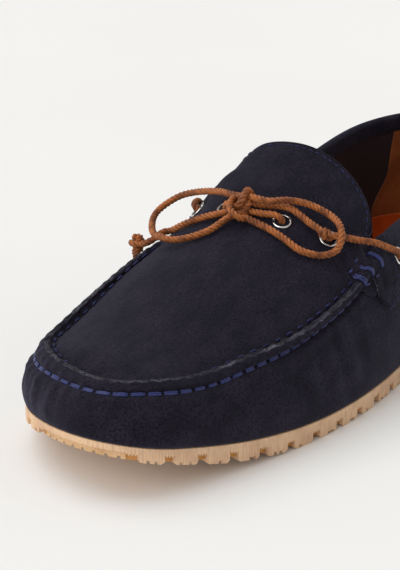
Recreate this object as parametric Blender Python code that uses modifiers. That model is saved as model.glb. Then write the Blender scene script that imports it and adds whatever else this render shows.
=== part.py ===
"""Left driving moccasin: a drawstring loafer with a raised moc seam and a cleated rubber sole.

Sizes are in millimetres until a mesh is made. Along is measured from the toe tip, across from
the shoe's axis, with the wearer's outer (lateral) side positive and the inner (medial) negative.
The finished shoe stands toe at -Y, lateral side at +X, on the plane z = 0.
"""

import math

import bmesh
import bpy
import numpy as np
from mathutils import Matrix, Vector

MM = 0.001

# ---------------------------------------------------------------- driving sizes
LENGTH = 291.0  # outsole, toe to heel
CENTRE_ACROSS = 0.35  # the box of the finished shoe is centred here
CENTRE_ALONG = 147.25
GAP = 0.3  # between pieces that meet
UPPER_WALL = 2.2
BAND_WALL = 1.4
TONGUE_WALL = 2.2
INSOLE_THICK = 3.0
INSOLE_INSET = 1.7  # inside the upper's inner face
SOLE_HEIGHT = 7.5  # ground to the upper's lower edge, where the shoe stands flat

TOE_RISE = 15.7  # how far the sole's upper edge climbs to the toe
TOE_RISE_FROM = 100.0
TREAD_RISE = 18.2  # the same for the underside
TREAD_RISE_FROM = 80.0
HEEL_RISE = 1.6
HEEL_RISE_FROM = 262.0
ARCH_RISE = 2.4  # on the medial side only
ARCH_MIDDLE = 172.0
ARCH_REACH = 42.0

LUG_PITCH = 14.3
LUG_GAP = 4.8
LUG_HEIGHT = 3.6
LUG_DEPTH = 13.0
LUG_ROOT = 0.4  # lugs run this far into the sole
LUG_EDGE_INSET = 0.25
TOE_LUG_LOSS = 2.0  # the lugs are shallower at the toe
TOE_LUG_REACH = 40.0
FIRST_LATERAL_GAP = 20.8  # round the outline from the toe tip
FIRST_MEDIAL_GAP = -22.0
STUD_RADIUS = 4.2
STUD_PITCH = 17.0
STUD_FIRST = 34.0
STUD_LAST = 268.0
STUD_ROW = 0.9  # rows stand this share of the pitch apart
STUD_ROOM = 2.5  # clear of the edge lugs
STUD_REACH = 60.0  # rows are laid out this far either side, then trimmed

SEAM_AT_TOE = 12.5  # moc seam and topline, first and last point along
TOPLINE_AT_HEEL = 287.0
RIDGE = 2.4  # moc seam, above the apron
RIDGE_FADE = 30.0
RIDGE_END = 149.0
RIDGE_WIDTH = 5.0
TONGUE_END = 163.5
TONGUE_SIDE_CUT = 7.0  # the tongue's rear corners are this much further forward
TONGUE_FRONT_CUT = 1.2  # clearance for the upper's thickness at the flanks
TONGUE_TUCK = 1.5  # its flanks slip this far inside the upper's inner face
COLLAR_BAND_DEPTH = 22.0

EYELET_RADIUS = 4.35
EYELET_HOLE = 2.35
EYELET_BARREL = 3.0
EYELET_SEAT = 3.5  # hole in the leather
EYELET_TAIL = 3.6  # barrel below the leather's face
EYELET_CROWN = 1.5
EYELET_BEND = 0.6  # share of the crown where the rolled flange turns over
HOLE_CUT = 10.0  # length of the punch through the leather
HOLE_CUT_BELOW = 2.0
TURNED_STEPS = 10
HOLE_SIDES = 12
EYELET_DROP = 7.6  # below the topline
LACE = 3.1  # lace diameter
LACE_STEP = 6.0  # spacing of a cord's points
BAR_STEP = 4.8  # the same on the short bars, which bend more
STUB_STEP = 3.0
SPLINE_STEPS = 24  # points on a route's curve between two given places
BAR_LIFT = 1.2  # under a bar, over the collar band
BAR_SHARES = (0.35, 0.5, 0.65)  # where a bar between collar eyelets is held over the band
# A lace through an eyelet: height square to the leather, and reach towards where it goes.
EYELET_PATH = ((-1.5, 0.0), (1.2, 0.2), (3.4, 2.4), (3.5, 5.5))

HALF_STEPS = 34  # sections from toe to heel on each side
THROAT_STEP = 17  # the apron ends at this section
WALL_HEIGHTS = (0, 0.13, 0.3, 0.5, 0.7, 0.87, 1)
WALL_LOW_SWELL = 0.9  # below 1 the wall swells most below its middle
APRON_COLUMNS = 11
APRON_FLANK_LIMIT = 0.35  # of the half width, where the apron narrows to the toe tip
TONGUE_SHARE = 0.97  # the tongue's flanks, as a share of the apron's half width
TONGUE_COLUMNS = 17
TONGUE_ROWS = 4
TONGUE_CORNER = 3.0  # a higher power squares the tongue's rear corners
BAND_ROWS = 4
WELD = 0.00005  # metres; points closer than this are one
INSIDE = (0, 150, 30)  # a place inside the shoe
KNOT_ROOM_MORE = 0.1


def columns(names, rows):
    """A table as a dictionary of its named columns."""
    return dict(zip(names.split(), np.array(rows, float).T))


# The upper's lower edge, which is also the sole's outline.
FEATHER = columns(
    "along lateral medial",
    [
        (0, 7, 7),
        (5, 22, -12),
        (16, 31, -29),
        (30, 36, -41),
        (46, 41, -48),
        (75, 47.8, -50.5),
        (110, 51.8, -50.5),
        (138, 50.6, -46),
        (165, 46.5, -39.5),
        (205, 38.5, -37),
        (240, 35, -35.5),
        (268, 30.5, -30),
        (284, 19, -18),
        (291, 1, 1),
    ],
)

# The moc seam from the toe to the wings, and behind them the topline.
TOP_EDGE = columns(
    "along lateral lateral_up medial medial_up",
    [
        (12.5, 6, 40, 6, 40),
        (20, 20.5, 39.7, -19.5, 39.5),
        (36, 29.5, 38.2, -36.5, 38.6),
        (50, 33, 37.6, -40, 40.2),
        (65, 36.2, 38.6, -41.3, 44),
        (85, 40.2, 40.2, -42, 48.6),
        (110, 41.8, 44.2, -42.6, 52.8),
        (135, 40.6, 50, -41.5, 56.4),
        (160, 36.6, 58, -39.2, 60.5),
        (182, 32, 58.6, -37.8, 62),
        (205, 29.6, 61, -36.8, 65),
        (225, 28.6, 65, -35.6, 69.2),
        (250, 26.6, 71, -32.4, 74.4),
        (272, 19.5, 76, -22.4, 77.6),
        (287, 1, 79, 1, 79),
    ],
)

# The apron and tongue: crest line, and how each flank falls from it: a higher fall keeps the
# top flat for longer, and a lower shoulder drops more steeply at the edge.
APRON = columns(
    "along crest crest_up lateral_fall medial_fall shoulder",
    [
        (12.5, 5, 40, 2, 2, 1),
        (30, -4, 42, 2, 2, 1),
        (50, -4, 45.2, 2, 2, 1),
        (70, -4, 50.5, 2, 2.1, 0.98),
        (92, -5, 58.5, 2, 2.2, 0.95),
        (106, -6, 63, 1.95, 2.3, 0.9),
        (124, -8, 71, 1.85, 2.4, 0.76),
        (137, -9, 77, 1.8, 2.4, 0.66),
        (149, -8, 83, 1.8, 2.4, 0.6),
        (158, -7, 88, 1.8, 2.4, 0.57),
        (168, -6, 93, 1.8, 2.4, 0.56),
    ],
)

WALL_SWELL = columns(
    "along swell", [(0, 3.9), (60, 3.9), (110, 3.4), (170, 4.6), (240, 5.2), (291, 5.6)]
)

# Eyelets in the apron: name, across, along.
VAMP_EYELETS = [
    ("vamp_lateral_inner", 9.4, 126.3),
    ("vamp_lateral_outer", 26.8, 132.9),
    ("vamp_medial_inner", -15.6, 124.1),
    ("vamp_medial_outer", -34.2, 131.0),
]
COLLAR_EYELETS = (163.5, 190, 229, 251, 283.5)  # along, both sides

# Where the first lace bar crosses the wing: out from the axis, along, up.
WING_CROSSING = {
    "lateral": [(34.2, 140, 64), (39.6, 148, 61.5), (42.2, 157, 56.5)],
    "medial": [(38.2, 139.5, 68.4), (43.4, 148, 63.6), (45.8, 158, 57.5)],
}

# The bow. Places are across and along, then the lift square to the apron, or with "at" the
# height above the ground for what hangs past the apron's medial edge.
KNOT = ("over", -7.3, 121.9, 4.5)
KNOT_SIZE = (5.6, 4.8, 3.7)
KNOT_ROOM = 1.08  # cords stop this much clear of the knot
APRON_REACH = 0.99  # share of the apron's half width over which a bow place is laid
END_KNOT_SIZE = (3.6, 3.0, 2.7)
END_KNOTS = {
    "end_knot_lateral": ("over", 25.6, 130.0, 5.0),
    "end_knot_medial": ("at", -48.6, 108.4, 54.0),
}
BOW = {
    "bow_stub_lateral": [
        KNOT,
        ("over", -1.5, 123.2, 2.4),
        ("over", 2.6, 124.0, 2.6),
        ("over", 6.2, 125.3, 3.1),
        ("over", 8.6, 126.0, 2.4),
        ("over", 9.5, 126.3, 0.8),
        ("over", 9.4, 126.3, -1.0),
    ],
    "bow_stub_medial": [
        KNOT,
        ("over", -12.2, 123.1, 3.9),
        ("over", -14.4, 123.8, 2.9),
        ("over", -15.5, 124.1, 1.0),
        ("over", -15.6, 124.1, -1.0),
    ],
    "bow_loop_lateral": [
        KNOT,
        ("over", -2.2, 125.9, 7.2),
        ("over", 2.8, 127.0, 6.8),
        ("over", 7.9, 131.0, 6.8),
        ("over", 12.8, 135.6, 4.8),
        ("over", 17.9, 138.3, 3.2),
        ("over", 23.4, 138.6, 4.2),
        ("over", 27.1, 136.6, 6.6),
        ("over", 29.7, 133.2, 8.0),
        ("over", 31.0, 130.6, 6.4),
        ("over", 31.3, 128.6, 4.2),
        ("over", 29.7, 125.3, 2.4),
        ("over", 27.1, 122.0, 2.1),
        ("over", 22.1, 118.9, 2.1),
        ("over", 18.6, 118.6, 2.1),
        ("over", 11.3, 119.0, 2.1),
        ("over", 5.5, 119.0, 2.2),
        ("over", -0.5, 119.1, 2.5),
        KNOT,
    ],
    "bow_loop_medial": [
        KNOT,
        ("over", -12.5, 126.4, 5.6),
        ("over", -19.3, 128.2, 5.2),
        ("at", -30.0, 128.3, 74.5),
        ("at", -39.6, 128.4, 71.5),
        ("at", -44.9, 124.5, 68),
        ("at", -45.8, 117.4, 65),
        ("at", -42.0, 109.8, 63),
        ("at", -36.3, 103.3, 62),
        ("at", -30.8, 100.8, 62),
        ("over", -23.7, 102.0, 3.0),
        ("over", -18.4, 104.6, 2.2),
        ("over", -12.8, 109.5, 2.2),
        ("over", -10.6, 113.5, 2.6),
        KNOT,
    ],
    "bow_end_lateral": [
        KNOT,
        ("over", -2.2, 126.3, 3.4),
        ("over", 1.8, 128.2, 2.7),
        ("over", 5.4, 130.2, 2.8),
        ("over", 10.3, 131.8, 2.9),
        ("over", 18.1, 131.2, 2.5),
        ("over", 22.0, 130.8, 3.6),
        END_KNOTS["end_knot_lateral"],
    ],
    "bow_end_medial": [
        KNOT,
        ("over", -13.2, 119.2, 2.6),
        ("over", -20.8, 116.9, 2.1),
        ("over", -28.6, 115.1, 2.1),
        ("over", -34.9, 114.6, 2.2),
        ("at", -37.9, 112.2, 60.2),
        ("at", -40.2, 109.0, 57.6),
        ("at", -43.2, 107.4, 55.6),
        END_KNOTS["end_knot_medial"],
    ],
}

# ---------------------------------------------------------------- curves and surfaces


def loop_spline(turn, value):
    """A smooth closed curve through the values, one lap of 2 pi, as a function of turn."""
    turn = np.append(turn, turn[0] + 2 * math.pi)
    value = np.append(value, value[0])
    step = np.diff(turn)
    slope = np.diff(value) / step
    count = len(step)
    grid = np.zeros((count, count))
    for i in range(count):
        grid[i, i - 1] += step[i - 1]
        grid[i, i] += 2 * (step[i - 1] + step[i])
        grid[i, (i + 1) % count] += step[i]
    bend = np.linalg.solve(grid, 6 * (slope - np.roll(slope, 1)))
    bend = np.append(bend, bend[0])

    def read(at):
        at = (np.asarray(at, float) - turn[0]) % (2 * math.pi) + turn[0]
        i = np.clip(np.searchsorted(turn, at, side="right") - 1, 0, count - 1)
        ahead, behind = turn[i + 1] - at, at - turn[i]
        cubic = (bend[i] * ahead**3 + bend[i + 1] * behind**3) / (6 * step[i])
        line = (value[i] * ahead + value[i + 1] * behind) / step[i]
        return cubic + line - step[i] / 6 * (bend[i] * ahead + bend[i + 1] * behind)

    return read


def turn_of(along, first, last):
    """Turn round the shoe, 0 at the toe and pi at the heel, for a place along it."""
    return np.arccos(np.clip(1 - 2 * (along - first) / (last - first), -1, 1))


def along_of(turn, first, last):
    return first + (last - first) * (1 - np.cos(turn)) / 2


def two_sided(table, lateral, medial, first, last):
    """One closed curve round the shoe from a lateral and a medial column."""
    turn = turn_of(table["along"], first, last)
    turns = np.concatenate([-turn[1:-1][::-1], turn])
    values = np.concatenate([table[medial][1:-1][::-1], table[lateral]])
    return loop_spline(turns, values)


def smooth(table, column):
    """A column read between its rows without corners."""
    x, y = table["along"], table[column]
    tilt = np.gradient(y, x)

    def read(at):
        at = np.clip(at, x[0], x[-1])
        i = np.clip(np.searchsorted(x, at) - 1, 0, len(x) - 2)
        h = x[i + 1] - x[i]
        t = (at - x[i]) / h
        keep = (1 + 2 * t) * (1 - t) ** 2 * y[i] + t**2 * (3 - 2 * t) * y[i + 1]
        return keep + h * t * (1 - t) * ((1 - t) * tilt[i] - t * tilt[i + 1])

    return read


feather_across = two_sided(FEATHER, "lateral", "medial", 0, LENGTH)
top_across = two_sided(TOP_EDGE, "lateral", "medial", SEAM_AT_TOE, TOPLINE_AT_HEEL)
top_up = two_sided(TOP_EDGE, "lateral_up", "medial_up", SEAM_AT_TOE, TOPLINE_AT_HEEL)
swell_at = smooth(WALL_SWELL, "swell")
crest_across = smooth(APRON, "crest")
crest_up = smooth(APRON, "crest_up")
lateral_fall = smooth(APRON, "lateral_fall")
medial_fall = smooth(APRON, "medial_fall")
shoulder = smooth(APRON, "shoulder")


def ramp(along, start, reach, rise, power):
    """Rise that grows from start over reach."""
    return rise * np.clip((along - start) / reach, 0, None) ** power


def feather_height(along):
    toe = ramp(-along, -TOE_RISE_FROM, TOE_RISE_FROM, TOE_RISE, 2)
    heel = ramp(along, HEEL_RISE_FROM, LENGTH - HEEL_RISE_FROM, HEEL_RISE, 2)
    return SOLE_HEIGHT + toe + heel


def tread_height(along, across):
    """Underside of the lugs."""
    toe = ramp(-along, -TREAD_RISE_FROM, TREAD_RISE_FROM, TREAD_RISE, 1.5)
    heel = ramp(along, HEEL_RISE_FROM, LENGTH - HEEL_RISE_FROM, HEEL_RISE, 2)
    arch = np.clip(1 - ((along - ARCH_MIDDLE) / ARCH_REACH) ** 2, 0, None) ** 2
    inward = np.clip(-across / 30, 0, 1)
    return toe + heel + ARCH_RISE * arch * inward


def feather(turn):
    along = along_of(turn, 0, LENGTH)
    return np.array([feather_across(turn), along, feather_height(along)])


def outward(turn):
    """Level unit vector away from the shoe at the feather line."""
    ahead, behind = feather(turn + 0.01), feather(turn - 0.01)
    run = ahead - behind
    side = np.array([run[1], -run[0], 0.0])
    return side / np.linalg.norm(side)


def top_edge(turn):
    along = along_of(turn, SEAM_AT_TOE, TOPLINE_AT_HEEL)
    return np.array([top_across(turn), along, top_up(turn)])


def wall(turn, height, proud=0.0):
    """Outer face of the side wall; height runs 0 at the sole to 1 at the seam or topline."""
    low, high = feather(turn), top_edge(turn)
    swell = swell_at(low[1]) * math.sin(math.pi * np.clip(height, 0, 1) ** WALL_LOW_SWELL)
    return low + (high - low) * height + outward(turn) * (swell + proud)


def wall_normal(turn, height):
    around = wall(turn + 0.01, height) - wall(turn - 0.01, height)
    up = wall(turn, height + 0.01) - wall(turn, height - 0.01)
    normal = np.cross(around, up)
    return normal / np.linalg.norm(normal)


def seam_ridge(along):
    """How far the moc seam stands above the apron beside it."""
    return RIDGE * np.clip((RIDGE_END - along) / RIDGE_FADE, 0, 1)


def apron(along, share, turn=None):
    """Outer face of the apron: share runs -1 at the medial seam to 1 at the lateral seam."""
    if turn is None:
        turn = turn_of(along, SEAM_AT_TOE, TOPLINE_AT_HEEL)
    side = 1 if share >= 0 else -1
    edge = top_edge(side * turn)
    foot = edge[2] - seam_ridge(along)
    middle = crest_across(along)
    fall = lateral_fall(along) if side > 0 else medial_fall(along)
    reach = abs(share)
    rise = (crest_up(along) - foot) * max(1 - reach**fall, 0) ** shoulder(along)
    return np.array([middle + (edge[0] - middle) * reach, along, foot + rise])


def apron_share(along, across):
    """The share at which the apron lies this far across."""
    turn = turn_of(along, SEAM_AT_TOE, TOPLINE_AT_HEEL)
    middle = crest_across(along)
    side = 1 if across >= middle else -1
    return side * abs((across - middle) / (top_edge(side * turn)[0] - middle))


def apron_normal(along, share):
    over = apron(along, share + 0.02) - apron(along, share - 0.02)
    back = apron(along + 1, share) - apron(along - 1, share)
    normal = np.cross(over, back)
    return normal / np.linalg.norm(normal)


# ---------------------------------------------------------------- making meshes
PARTS = "Loafer"
CUTTERS = "Cutters"


def row_frame(point):
    """From shoe millimetres to the finished part's metres."""
    x, y, z = point
    return Vector(((x - CENTRE_ACROSS) * MM, (y - CENTRE_ALONG) * MM, z * MM))


def clear_scene():
    for obj in list(bpy.data.objects):
        bpy.data.objects.remove(obj, do_unlink=True)
    for name in (PARTS, CUTTERS):
        group = bpy.data.collections.get(name) or bpy.data.collections.new(name)
        if group.name not in bpy.context.scene.collection.children:
            bpy.context.scene.collection.children.link(group)


def finish(name, red, green, blue, roughness, metallic=0.0):
    material = bpy.data.materials.new(name)
    material.use_nodes = True
    shader = material.node_tree.nodes["Principled BSDF"]
    shader.inputs["Base Color"].default_value = (red, green, blue, 1)
    shader.inputs["Roughness"].default_value = roughness
    shader.inputs["Metallic"].default_value = metallic
    return material


def add_object(name, mesh, material=None, group=PARTS):
    obj = bpy.data.objects.new(name, mesh)
    if material:
        mesh.materials.append(material)
    bpy.data.collections[group].objects.link(obj)
    return obj


def add_cutter(name, mesh):
    obj = add_object(name, mesh, group=CUTTERS)
    obj.hide_render = True
    obj.display_type = "WIRE"
    return obj


def mesh_from(name, points, faces):
    mesh = bpy.data.meshes.new(name)
    mesh.from_pydata([row_frame(p) for p in points], [], faces)
    bm = bmesh.new()
    bm.from_mesh(mesh)
    bmesh.ops.remove_doubles(bm, verts=bm.verts, dist=WELD)
    bmesh.ops.recalc_face_normals(bm, faces=bm.faces)
    bm.to_mesh(mesh)
    bm.free()
    return mesh


def grid_faces(rows, count, first=0, ring=False):
    """Quads between rows of count points; ring joins the last row to the first."""
    faces = []
    for r in range(rows if ring else rows - 1):
        for c in range(count - 1):
            a = first + r * count + c
            b = first + (r + 1) % rows * count + c
            faces.append((a, a + 1, b + 1, b))
    return faces


def boolean(obj, cutter, operation):
    change = obj.modifiers.new(operation.title(), "BOOLEAN")
    change.operation = operation
    change.solver = "EXACT"
    change.object = cutter


def stand_on(point, normal):
    """Placement in metres with +Z along the normal."""
    turn = Vector(normal).to_track_quat("Z", "Y").to_matrix().to_4x4()
    return Matrix.Translation(row_frame(point)) @ turn


# ---------------------------------------------------------------- upper, tongue and band
def section_turn(step):
    return math.pi * step / HALF_STEPS


def upper_surface():
    """Open outer skin: a ring of wall sections and an apron between their top edges."""
    turns = [section_turn(k) for k in range(-HALF_STEPS + 1, HALF_STEPS + 1)]
    points = [wall(t, h) for t in turns for h in WALL_HEIGHTS]
    faces = grid_faces(len(turns), len(WALL_HEIGHTS), ring=True)
    first = len(points)
    points += [top_edge(0)] * (APRON_COLUMNS + 2)
    for step in range(1, THROAT_STEP + 1):
        turn = section_turn(step)
        along = along_of(turn, SEAM_AT_TOE, TOPLINE_AT_HEEL)
        half_width = (top_edge(turn)[0] - top_edge(-turn)[0]) / 2
        flank = 1 - min(RIDGE_WIDTH / half_width, APRON_FLANK_LIMIT)
        row = [apron(along, flank * s, turn) for s in np.linspace(-1, 1, APRON_COLUMNS)]
        points += [top_edge(-turn)] + row + [top_edge(turn)]
    faces += grid_faces(THROAT_STEP + 1, APRON_COLUMNS + 2, first)
    return mesh_from("upper", points, faces)


def face_outwards(mesh):
    """Turn an open skin's faces so that they look away from the inside of the shoe."""
    bm = bmesh.new()
    bm.from_mesh(mesh)
    middle = row_frame(INSIDE)
    outward_sum = 0
    for face in bm.faces:
        outward_sum += face.calc_area() * face.normal.dot(face.calc_center_median() - middle)
    if outward_sum < 0:
        bmesh.ops.reverse_faces(bm, faces=bm.faces)
    bm.to_mesh(mesh)
    bm.free()
    return mesh


def thicken(obj, thickness):
    change = obj.modifiers.new("Leather", "SOLIDIFY")
    change.thickness = thickness * MM
    change.offset = -1
    change.use_even_offset = True
    change.use_quality_normals = True


def make_upper(material, holes):
    upper = add_object("upper", face_outwards(upper_surface()), material)
    thicken(upper, UPPER_WALL)
    boolean(upper, holes, "DIFFERENCE")
    upper.data.shade_smooth()
    return upper


def tongue_face(along, share):
    """The apron's line carried on behind the throat, its flanks inside the collar."""
    point = apron(along, share)
    inset = (UPPER_WALL + TONGUE_TUCK) * abs(share) ** 2
    return point - np.array([math.copysign(inset, share), 0, 0])


def make_tongue(material):
    shares = np.linspace(-TONGUE_SHARE, TONGUE_SHARE, TONGUE_COLUMNS)
    start = along_of(section_turn(THROAT_STEP), SEAM_AT_TOE, TOPLINE_AT_HEEL) + GAP
    points = []
    for row in range(TONGUE_ROWS):
        for share in shares:
            front = start + TONGUE_FRONT_CUT * share**2
            end = TONGUE_END - TONGUE_SIDE_CUT * abs(share) ** TONGUE_CORNER
            along = front + (end - front) * row / (TONGUE_ROWS - 1)
            points.append(tongue_face(along, share))
    mesh = mesh_from("tongue", points, grid_faces(TONGUE_ROWS, len(shares)))
    tongue = add_object("tongue", face_outwards(mesh), material)
    thicken(tongue, TONGUE_WALL)
    tongue.data.shade_smooth()
    return tongue


def band_height(turn, drop):
    """Wall height at a distance below the topline."""
    low, high = feather(turn), top_edge(turn)
    return 1 - drop / np.linalg.norm(high - low)


def make_collar_band(material, holes):
    steps = range(THROAT_STEP, 2 * HALF_STEPS - THROAT_STEP + 1)
    drops = np.linspace(COLLAR_BAND_DEPTH, 0, BAND_ROWS)
    points = []
    for step in steps:
        turn = section_turn(step)
        points += [wall(turn, band_height(turn, drop), GAP + BAND_WALL) for drop in drops]
    mesh = mesh_from("collar_band", points, grid_faces(len(steps), len(drops)))
    band = add_object("collar_band", face_outwards(mesh), material)
    thicken(band, BAND_WALL)
    boolean(band, holes, "DIFFERENCE")
    band.data.shade_smooth()
    return band


# ---------------------------------------------------------------- sole
def strip_slab(name, outline_inset, low, high, shares):
    """A slab across the shoe; low and high give its faces at (along, across)."""
    points = []
    for face in (low, high):
        for step in range(HALF_STEPS + 1):
            turn = section_turn(step)
            right = feather(turn) - outward(turn) * outline_inset
            left = feather(-turn) - outward(-turn) * outline_inset
            for share in shares:
                place = left + (right - left) * share
                points.append((place[0], place[1], face(place[1], place[0])))
    count = len(shares)
    rows = HALF_STEPS + 1
    faces = grid_faces(rows, count) + grid_faces(rows, count, rows * count)
    for edge in (0, count - 1):
        for row in range(rows - 1):
            a = row * count + edge
            b = a + count
            faces.append((a, b, b + rows * count, a + rows * count))
    return mesh_from(name, points, faces)


def lug_height(along):
    return LUG_HEIGHT - TOE_LUG_LOSS * np.clip(1 - along / TOE_LUG_REACH, 0, 1)


def sole_ceiling(along, across):
    """Top of the recess between lugs."""
    return tread_height(along, across) + lug_height(along)


def edge_walk():
    """Turn at a distance round the outline: 0 at the toe tip, lateral side positive."""
    turns = np.linspace(-math.pi, math.pi, 1441)
    places = np.array([feather(t)[:2] for t in turns])
    steps = np.linalg.norm(np.diff(places, axis=0), axis=1)
    walked = np.concatenate([[0], np.cumsum(steps)])
    walked -= np.interp(0, turns, walked)
    return lambda distance: np.interp(distance, walked, turns), walked[0], walked[-1]


def lug_spans():
    """Start and end of each edge lug round the outline; the toe bumper is the long one."""
    _, medial_end, lateral_end = edge_walk()
    lateral = list(np.arange(FIRST_LATERAL_GAP, lateral_end, LUG_PITCH))
    medial = list(np.arange(FIRST_MEDIAL_GAP, medial_end, -LUG_PITCH))
    gaps = medial[::-1] + lateral
    spans = [(a + LUG_GAP / 2, b - LUG_GAP / 2) for a, b in zip(gaps, gaps[1:])]
    heel = (gaps[-1] + LUG_GAP / 2, lateral_end - LUG_GAP / 2)
    return spans + ([heel] if heel[1] - heel[0] > LUG_GAP else [])


def prism(outline, ceiling, floor_of):
    """Bottom and top rings of a lug over an outline of (across, along)."""
    low = [(x, y, floor_of(y, x)) for x, y in outline]
    high = [(x, y, ceiling(y, x) + LUG_ROOT) for x, y in outline]
    count = len(outline)
    faces = [tuple(range(count))[::-1], tuple(range(count, 2 * count))]
    faces += [(i, (i + 1) % count, (i + 1) % count + count, i + count) for i in range(count)]
    return low + high, faces


def edge_lugs():
    turn_at, _, _ = edge_walk()
    outlines = []
    for start, end in lug_spans():
        count = 2 + int((end - start) // 10)
        outer, inner = [], []
        for distance in np.linspace(start, end, count):
            turn = turn_at(distance)
            place, away = feather(turn)[:2], outward(turn)[:2]
            outer.append(place - away * LUG_EDGE_INSET)
            inner.append(place - away * LUG_DEPTH)
        outlines.append(outer + inner[::-1])
    return outlines


def field_studs():
    """Six-sided studs in rows inside the edge lugs."""
    angles = np.arange(6) * math.pi / 3
    stud = STUD_RADIUS * np.stack([np.cos(angles), np.sin(angles)], -1)
    outlines = []
    for row, along in enumerate(np.arange(STUD_FIRST, STUD_LAST, STUD_PITCH * STUD_ROW)):
        turn = turn_of(along, 0, LENGTH)
        room = LUG_DEPTH + STUD_RADIUS + STUD_ROOM
        right = feather_across(turn) - room
        left = feather_across(-turn) + room
        offset = STUD_PITCH / 2 * (row % 2)
        for across in np.arange(offset - STUD_REACH, STUD_REACH, STUD_PITCH):
            if left <= across <= right:
                outlines.append([tuple(corner + (across, along)) for corner in stud])
    return outlines


def make_outsole(material):
    shares = np.linspace(0, 1, 5)
    body = strip_slab("outsole", 0, sole_ceiling, lambda y, x: feather_height(y) - GAP, shares)
    points, faces = [], []
    for outline in edge_lugs() + field_studs():
        lug_points, lug_faces = prism(outline, sole_ceiling, tread_height)
        faces += [tuple(i + len(points) for i in face) for face in lug_faces]
        points += lug_points
    lugs = add_cutter("lugs", mesh_from("lugs", points, faces))
    outsole = add_object("outsole", body, material)
    boolean(outsole, lugs, "UNION")
    return outsole


def make_insole(material):
    mesh = strip_slab(
        "insole",
        UPPER_WALL + INSOLE_INSET,
        lambda y, x: feather_height(y) + GAP,
        lambda y, x: feather_height(y) + GAP + INSOLE_THICK,
        np.linspace(0, 1, 2),
    )
    return add_object("insole", mesh, material)


# ---------------------------------------------------------------- eyelets and lace
def vamp_seat(across, along):
    share = apron_share(along, across)
    return apron(along, share), apron_normal(along, share)


def collar_seat(side, along, proud=GAP + BAND_WALL, drop=EYELET_DROP):
    turn = side * turn_of(along, SEAM_AT_TOE, TOPLINE_AT_HEEL)
    height = band_height(turn, drop)
    return wall(turn, height, proud), wall_normal(turn, height)


def eyelet_seats():
    """Each eyelet's place and outward direction by name, counted from the front."""
    seats = {}
    for name, across, along in VAMP_EYELETS:
        seats[name] = vamp_seat(across, along)
    for name, side in (("lateral", 1), ("medial", -1)):
        for number, along in enumerate(COLLAR_EYELETS, 1):
            seats[f"collar_{name}_{number}"] = collar_seat(side, along)
    return seats


def eyelet_holes(seats):
    bm = bmesh.new()
    for point, normal in seats.values():
        placed = stand_on(point - normal * HOLE_CUT_BELOW, normal)
        radius = EYELET_SEAT * MM
        bmesh.ops.create_cone(
            bm,
            cap_ends=True,
            segments=HOLE_SIDES,
            radius1=radius,
            radius2=radius,
            depth=HOLE_CUT * MM,
            matrix=placed,
        )
    mesh = bpy.data.meshes.new("eyelet_holes")
    bm.to_mesh(mesh)
    bm.free()
    return add_cutter("eyelet_holes", mesh)


def eyelet_mesh():
    """A turned ring: rolled flange over the leather and a barrel through it."""
    profile = [
        (EYELET_HOLE, -EYELET_TAIL),
        (EYELET_HOLE, EYELET_CROWN * EYELET_BEND),
        ((EYELET_HOLE + EYELET_RADIUS) / 2, EYELET_CROWN),
        (EYELET_RADIUS, EYELET_CROWN * EYELET_BEND),
        (EYELET_RADIUS, GAP),
        (EYELET_BARREL, GAP),
        (EYELET_BARREL, -EYELET_TAIL),
    ]
    mesh = bpy.data.meshes.new("eyelet")
    count = len(profile)
    edges = [(i, (i + 1) % count) for i in range(count)]
    mesh.from_pydata([(r * MM, 0, z * MM) for r, z in profile], edges, [])
    return mesh


def make_eyelets(seats, material):
    mesh = eyelet_mesh()
    mesh.materials.append(material)
    for name, (point, normal) in seats.items():
        eyelet = bpy.data.objects.new(f"eyelet_{name}", mesh)
        bpy.data.collections[PARTS].objects.link(eyelet)
        eyelet.matrix_world = stand_on(point, normal)
        turn = eyelet.modifiers.new("Turned", "SCREW")
        turn.steps = TURNED_STEPS
        turn.render_steps = TURNED_STEPS
        turn.use_merge_vertices = True
        turn.merge_threshold = 0.0001
        turn.use_normal_calculate = True


def catmull(points, step):
    """Evenly spaced points on a smooth curve through the given ones."""
    points = [np.array(p, float) for p in points]
    padded = [2 * points[0] - points[1]] + points + [2 * points[-1] - points[-2]]
    fine = []
    for a, b, c, d in zip(padded, padded[1:], padded[2:], padded[3:]):
        square = 2 * a - 5 * b + 4 * c - d
        cube = 3 * b - a - 3 * c + d
        for u in np.linspace(0, 1, SPLINE_STEPS, endpoint=False):
            fine.append(0.5 * (2 * b + (c - a) * u + square * u**2 + cube * u**3))
    fine.append(points[-1])
    fine = np.array(fine)
    walked = np.concatenate([[0], np.cumsum(np.linalg.norm(np.diff(fine, axis=0), axis=1))])
    count = max(int(round(walked[-1] / step)), 2) + 1
    places = np.linspace(0, walked[-1], count)
    return np.array([[np.interp(p, walked, fine[:, axis]) for axis in range(3)] for p in places])


def make_cord(name, route, material, step):
    """A round cord along a route of shoe points."""
    path = catmull(route, step)
    curve = bpy.data.curves.new(name, "CURVE")
    curve.dimensions = "3D"
    curve.bevel_depth = LACE / 2 * MM
    curve.bevel_resolution = 2
    curve.use_fill_caps = True
    line = curve.splines.new("POLY")
    line.points.add(len(path) - 1)
    for spot, point in zip(line.points, path):
        spot.co = (*row_frame(point), 1)
    curve.materials.append(material)
    obj = bpy.data.objects.new(name, curve)
    bpy.data.collections[PARTS].objects.link(obj)
    return obj


def through_eyelet(seat, toward):
    """Lace points out of an eyelet's hole and over its rim towards a place."""
    point, normal = seat
    away = toward - point
    away -= normal * np.dot(away, normal)
    away /= np.linalg.norm(away)
    return [point + normal * lift + away * reach for lift, reach in EYELET_PATH]


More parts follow.
